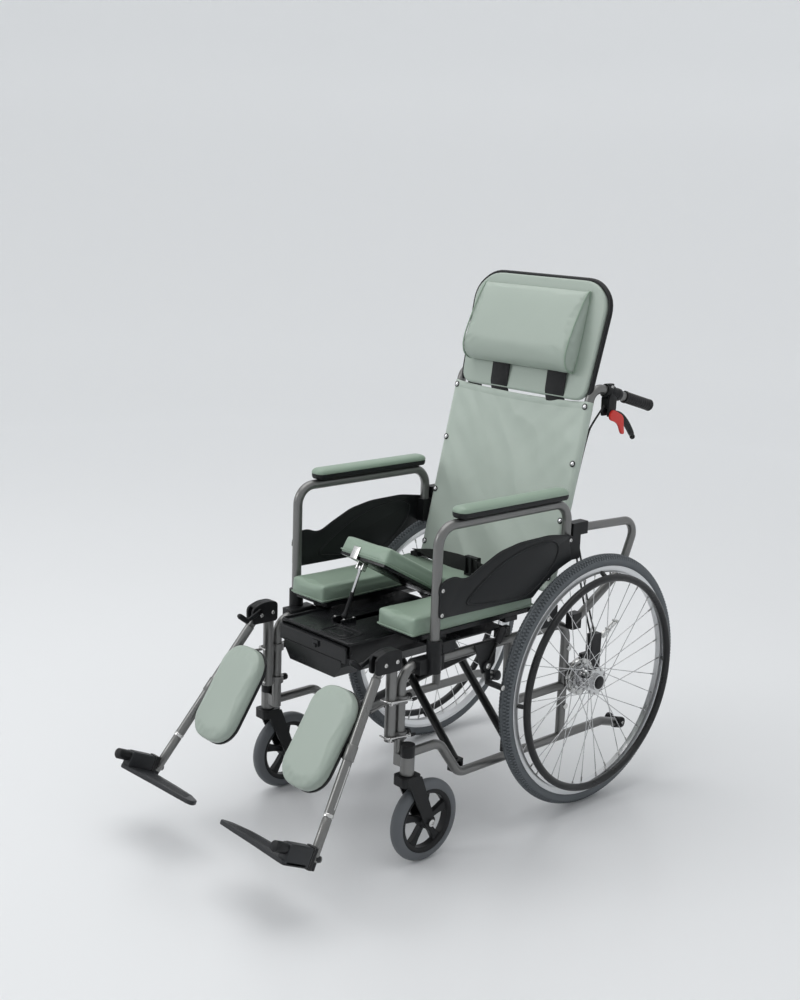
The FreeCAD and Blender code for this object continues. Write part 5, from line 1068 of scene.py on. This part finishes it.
# %% Brake levers and lock triggers
lever_line = curvy([(62, 943), (70, 939), (77, 936), (91, 936), (114, 926), (140, 902), (161, 873), (153, 864),
                    (133, 889), (109, 911), (82, 923), (58, 928), (54.5, 937)], 2)
lever_ball = turned([(0.01, -6.6), (3.6, -5.6), (6.0, -2.8), (6.6, 0), (6.0, 2.8), (3.6, 5.6), (0.01, 6.6)], 24)
lever = joined(eased(slab(lever_line, 212.2, 221.8), 2.6, 3), aimed(lever_ball, (217, 157, 867), (0, 1, -0.9)))
hang_pair("brake_hook", lever, "brake_lever", black_nylon, "black_nylon", "brake_lever")
trigger_line = curvy([(44, 930), (56, 943), (72, 936), (95, 925), (97, 904), (101, 886), (99, 881), (90, 882),
                      (80, 904), (66, 913), (48, 918)], 2)
trigger = eased(slab(trigger_line, 229.9, 236.4), 1.8, 3)
hang_pair("red_trigger", trigger, "lock_trigger", red_plastic, "red_plastic", "lock_trigger")

# %% [markdown]
# Brake cables run from the levers down the posts and from the frame down to the hub brakes.
# A cable takes the shape of a smooth curve through air, so each is a curve whose control points are its route,
# with the thickness of the cable's black cover.

# %% Brake cables
def cable(name, route, body, replaces=None):
    line = bpy.data.curves.new(name, "CURVE")
    line.dimensions = "3D"
    line.resolution_u = 16
    spline = line.splines.new("NURBS")
    spline.points.add(len(route) - 1)
    for point, place in zip(spline.points, route):
        point.co = (*(to_part @ Vector(place)), 1)
    spline.order_u = 3
    spline.use_endpoint_u = True
    piece = bpy.data.objects.new(name, line)
    scene.collection.objects.link(piece)
    bare = piece.to_mesh()
    piece.to_mesh_clear()
    line.bevel_depth = 0.0024
    line.bevel_resolution = 4
    line.use_fill_caps = True
    line.materials.append(cable_rubber)
    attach(piece, body)
    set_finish(piece, "cable_rubber")
    if replaces:
        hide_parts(replaces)


for side, name in ((1, "left"), (-1, "right")):
    for k in range(2):
        route = [(side * 221.5, y + 14 * k, z) for y, z in ((-44, 650), (-22, 590), (14, 470), (44, 400.25))]
        cable(f"lower_cable_{name}_{k}", route, "frame", "brake_cables")
    ends = [back_frame @ Vector((side * POST_X, 14.2, along)) for along in (430, 190)]
    cable("upper_cable_" + name, [(side * 217, 44, 950.5), (side * 217, 14, 922), *ends], "backrest")

# %% [markdown]
# At the front hang the swing-away legrests. Their hinge covers are black mouldings with two cheeks,
# between which the tongue of the leg swings. A core between the cheeks closes them at the back and the top.

# %% Hinge covers
cover_line = filleted([(-647, 443), (-576, 442), (-576, 486), (-592, 491.5), (-618, 491.5), (-641, 484),
                       (-648, 476)], 9)
core_line = filleted([(-606, 443), (-577, 442), (-577, 486), (-592, 491), (-618, 491), (-641, 484), (-640, 480.5),
                      (-606, 480.5)], 4)
cover = joined(eased(slab(cover_line, 198.8, 206.3), 2.2), eased(slab(cover_line, 217.7, 225.2), 2.2),
               eased(slab(core_line, 205.5, 218.5), 0.8))
hang_pair("knuckle_cover", cover, "hanger", black_nylon, "black_nylon", "hinge_cover")
cover_screws = joined(*[screw((x, y, z), way, 4.8, 2.4) for x, way in ((225, OUTWARD), (199, INWARD))
                        for y, z in ((-622, 462), (-590, 464))])
hang_pair("knuckle_screws", cover_screws, "hanger", plated_steel, "plated_steel")

# %% [markdown]
# Two clamps hold each hanger to the front post. Each has a bolt, a bent wire and two black knobs.

# %% Hanger clamps and knobs
knob_line = [(4, 14), (6.4, 15), (8.2, 18), (8.2, 26), (6.8, 28.6), (0.01, 29)]
tip_line = [(2.2, -2), (3.6, -1), (4.0, 5), (3.2, 11), (0.01, 12)]
clamps = []
knobs = []
for height in (293.5, 374.0):
    wire_end = (229, -546, height - 2)
    wire_line = [(200, -610, height + 3), (226, -612, height + 3), (231, -580, height + 2), wire_end]
    clamps += [rod([(226, -604, height), (226, -552, height)], 2.6, sides=10),
               rod(curvy(wire_line, 2, closed=False), 2.0),
               screw((226, -604, height), (0, -1, 0), 5.2, 3.4), screw((226, -552, height), (0, 1, 0), 5.2, 3.4)]
    knobs += [aimed(turned(knob_line, 10), (213, -566, height), (0, 1, 0)),
              aimed(turned(tip_line, 12), wire_end, (0, 1, 0))]
hang_pair("hanger_clamps", joined(*clamps), "hanger", plated_steel, "plated_steel")
hang_pair("hanger_knobs", joined(*knobs), "hanger", black_nylon, "black_nylon")

# %% [markdown]
# The release lever beside the hinge has a slim arm, an eye round its pin and a thick black handle.

# %% Release levers
arm = eased(slab(((-637, 478), (-668, 463), (-672, 453), (-630, 468)), 191.2, 195.8), 1.2)
handle = turned([(2.4, -4), (5.4, -2), (6.2, 4), (6.6, 16), (6.2, 27), (4.4, 31), (0.01, 32)], 20)
eye = turned([(3.2, -2.8), (6.2, -2.8), (6.6, 0), (6.2, 2.8), (3.2, 2.8)], 24, closed=True)
release = joined(arm, aimed(handle, (193.5, -667, 458), (0, -0.8, 0.6)), aimed(eye, (193.5, -632, 474), OUTWARD))
hang_pair("release_handle", release, "release_lever", black_nylon, "black_nylon", "release_lever")

# %% [markdown]
# The legs are plain bright tubes, one sliding in the other. What makes them a legrest are the small parts:
# the tongue at the knee, the clamp and the black arm that carry the calf pad, and the collar where the tubes meet.

# %% Legs
knee, heel = Vector((212, -622, 464)), Vector((283, -862, 108))
leg_way = (heel - knee).normalized()


def on_leg(profile, steps, distance=0):
    """A turned piece round the leg, that starts at a distance below the knee."""
    return aimed(turned(profile, steps), knee + leg_way * distance, leg_way)


tongue = eased(slab([(-9, -6), (9, -6), (9, 46), (-9, 46)], -4.9, 4.9), 2)
for v in tongue.verts:
    v.co = knee + leg_way * v.co.z + Vector((v.co.x, v.co.y * leg_way.z, -v.co.y * leg_way.y))
barrel = on_leg([(0.01, 33), (8.6, 33), (10.5, 35), (10.5, 329), (9.6, 330), (8.5, 330)], 40)
calf_clamp = on_leg([(10.4, -17), (11.6, -16.4), (12.2, -15), (12.2, 15), (11.6, 16.4), (10.4, 17)], 32, 196)
hang_pair("leg_barrel", joined(tongue, barrel, calf_clamp), "leg", leg_silver, "leg_chrome", "leg_tube")
calf_arm = block((-32, -18, -6.0), (78, 18, -0.2), 1.4)
hang_pair("calf_arm", calf_arm, "leg", black_nylon, "black_nylon", place=calf_frame)
leg_collar = on_leg([(8.6, 1.5), (10.4, 1.5), (11.2, 0.6), (11.2, -5), (10.5, -6)], 32, 330)
strip = rod([knee + leg_way * distance + Vector((9.5, 4, 6)) for distance in (228, 320)], 1.5, sides=8)
hang_pair("leg_collar", joined(leg_collar, strip), "leg", plated_steel, "leg_chrome")
foot_sleeve = on_leg([(8.5, 333), (9.7, 333), (10.1, 333.6), (10.1, 421), (9.6, 422), (8.5, 422)], 32)
hang_pair("foot_sleeve", foot_sleeve, "foot", leg_silver, "leg_chrome")
print("a leg is", round((heel - knee).length), "mm long from knee to heel")

# %% [markdown]
# The footplate is a flat moulded blade on a thick hinge block, tipped to the angle of the foot.
# Low ribs on the blade keep a shoe from slipping. The foot tube carries a knob at each end of the hinge and a cap.

# %% Footplates
foot_frame = Matrix.Translation(heel) @ Matrix.Rotation(math.radians(-25), 4, "X")
tube_cap = aimed(turned([(8.5, -14), (9.6, -13.4), (9.8, 2), (8.6, 4), (0.01, 4.4)], 28), heel, leg_way)
knob = turned([(6, 0), (11, 0.4), (11.8, 2), (11.8, 25), (11.5, 29.6), (10, 31.4), (6, 32.4), (0.01, 32.8)], 28)
end_knob = turned([(5, 0), (7.4, 1), (7.8, 4), (7.8, 13), (6.4, 17), (0.01, 18)], 24)
foot_bits = joined(block((-13.4, -17.5, -2.4), (13.4, -7.6, 44.4), 1.8), aimed(knob, (0, -84.0, 31), (0, -1, 0)),
                   aimed(end_knob, (0, 0, 20), (0, 1, 0)), block((-7, -8, -2), (7, 1, 14.4), 1))
foot_bits.transform(foot_frame)
hang_pair("foot_knobs", joined(foot_bits, tube_cap), "foot", black_nylon, "foot_plastic")

blade_line = [(58, -66), (52, -56), (64, -36), (110, -17), (180, -13), (244, -13), (262, -18), (296, -18), (296, -88),
              (250, -84), (180, -76), (110, -71)]
blade_line = [(x - 283, y) for x, y in blade_line]
blade = eased(slab(filleted(blade_line, 9), 0.2, 9.6, "xy"), 2.4)
blade_ribs = [block((-205 + 6 * k, -60 + 7 * k, 9.2), (-52, -57.4 + 7 * k, 10.3), 0.5) for k in range(5)]
hinge_block = block((-13, -84, 0.4), (13, -18, 42), 3.2)
hinge_lid = block((-10.5, -78, 41.4), (10.5, -24, 43.2), 0.9)
plate = joined(blade, hinge_block, hinge_lid, *blade_ribs)
hang_pair("foot_blade", plate, "footplate", foot_plastic, "foot_plastic", "footplate", place=foot_frame)

# %% [markdown]
# Beads are pressed into the deck over the commode to stiffen it, and a rim runs round its front.
# Four screws hold the foot of the prop. The drawer below has a latch and two lips across its front.

# %% Deck and drawer
def bead(points, radius):
    return rod([(x, y, 476.6) for x, y in filleted(points, 14)], radius, closed=True, sides=8)


beads = joined(bead([(-4, -616), (76, -616), (76, -552), (-4, -552)], 2.2),
               bead([(10, -602), (62, -602), (62, -566), (10, -566)], 1.8))
rim_line = [(-117, -488), (-117, -627), (117, -627), (117, -488)]
rim_line = [rim_line[0], *filleted(rim_line, 10)[6:18], rim_line[-1]]
deck_rim = rod([(x, y, 478.5) for x, y in rim_line], 3.2, sides=10)
hang("deck_beads", joined(beads, deck_rim), "frame", black_moulding, "black_moulding")
foot_screws = joined(*[screw((x, y, 486), (0, 0, 1), 3.4, 2.2) for x in (-37.4, -6.6) for y in (-512, -540)])
hang("prop_foot_screws", foot_screws, "frame", plated_steel, "black_moulding")
latch = joined(block((4, -640, 452), (24, -635, 466), 1.4), block((9, -643, 449), (19, -638, 457), 1.4))
lip = joined(block((-113, -639, 466), (113, -634, 471.4), 1.4), block((-98, -638, 436), (98, -635.4, 439), 1.0))
hang("drawer_latch", joined(latch, lip), "commode_drawer", black_moulding, "black_moulding")

# %% [markdown]
# The last pieces are the small ones that tell how the chair is put together: the rollers at the tail
# that stop it from tipping, bolts in the frame, the brake arm's bright clevis, and the tip of the lock lever.

# %% Frame details
tail = Vector((213, 174, 144))
roller_line = [(0.01, -5.5), (9, -5.5), (12.6, -3.6), (13.4, 0), (12.6, 3.6), (9, 5.5), (0.01, 5.5)]
rollers = joined(*[aimed(turned(roller_line, 32), tail + Vector((k * 19, 0, 0)), OUTWARD) for k in (-1, 1)],
                 rod([tail - Vector((20, 0, 0)), tail + Vector((20, 0, 0))], 4))
hang_pair("tail_rollers", rollers, "frame", black_nylon, "black_nylon")
small_bolts = joined(screw(tail + Vector((24.4, 0, 0)), OUTWARD, 4, 2.2), screw((234.2, -323, 399), OUTWARD, 7, 3),
                     screw((228, -120, 468), OUTWARD, 6, 2.6))
hang_pair("small_bolts", small_bolts, "frame", plated_steel, "plated_steel")
clevis_nut = turned([(3, -7), (7.0, -7), (8.0, 0), (7.0, 7), (3, 7)], 6)
clevis = joined(rod([(221, 60, 372), (221, 98, 388)], 4.4), rod([(216.6, 92, 384), (216.6, 140, 413)], 2.6),
                rod([(225.4, 92, 384), (225.4, 140, 413)], 2.6), aimed(clevis_nut, (221, 96, 387), (0, 0.86, 0.5)),
                rod([(214, 138, 411.6), (228, 138, 411.6)], 4.4), rod([(214, 112, 396.4), (228, 112, 396.4)], 3.6),
                rod([(221.5, 44, 399), (221.5, 44, 412)], 3.8), rod([(221.5, 58, 399), (221.5, 58, 412)], 3.8))
hang_pair("brake_clevis", clevis, "frame", plated_steel, "brake_metal")
lock_tip = turned([(7.4, -3), (8.4, -1), (8.8, 8), (8.8, 28), (7.2, 33), (0.01, 34.4)], 24)
aimed(lock_tip, (231.5, -292.5, 450), (0, 0.5, 0.866))
hang_pair("lock_tip", lock_tip, "lock_lever", grip_rubber, "black_paint")
hang_pair("lock_bolt", screw((278, -319, 360), OUTWARD, 6.4, 3), "lock_lever", plated_steel, "plated_steel")
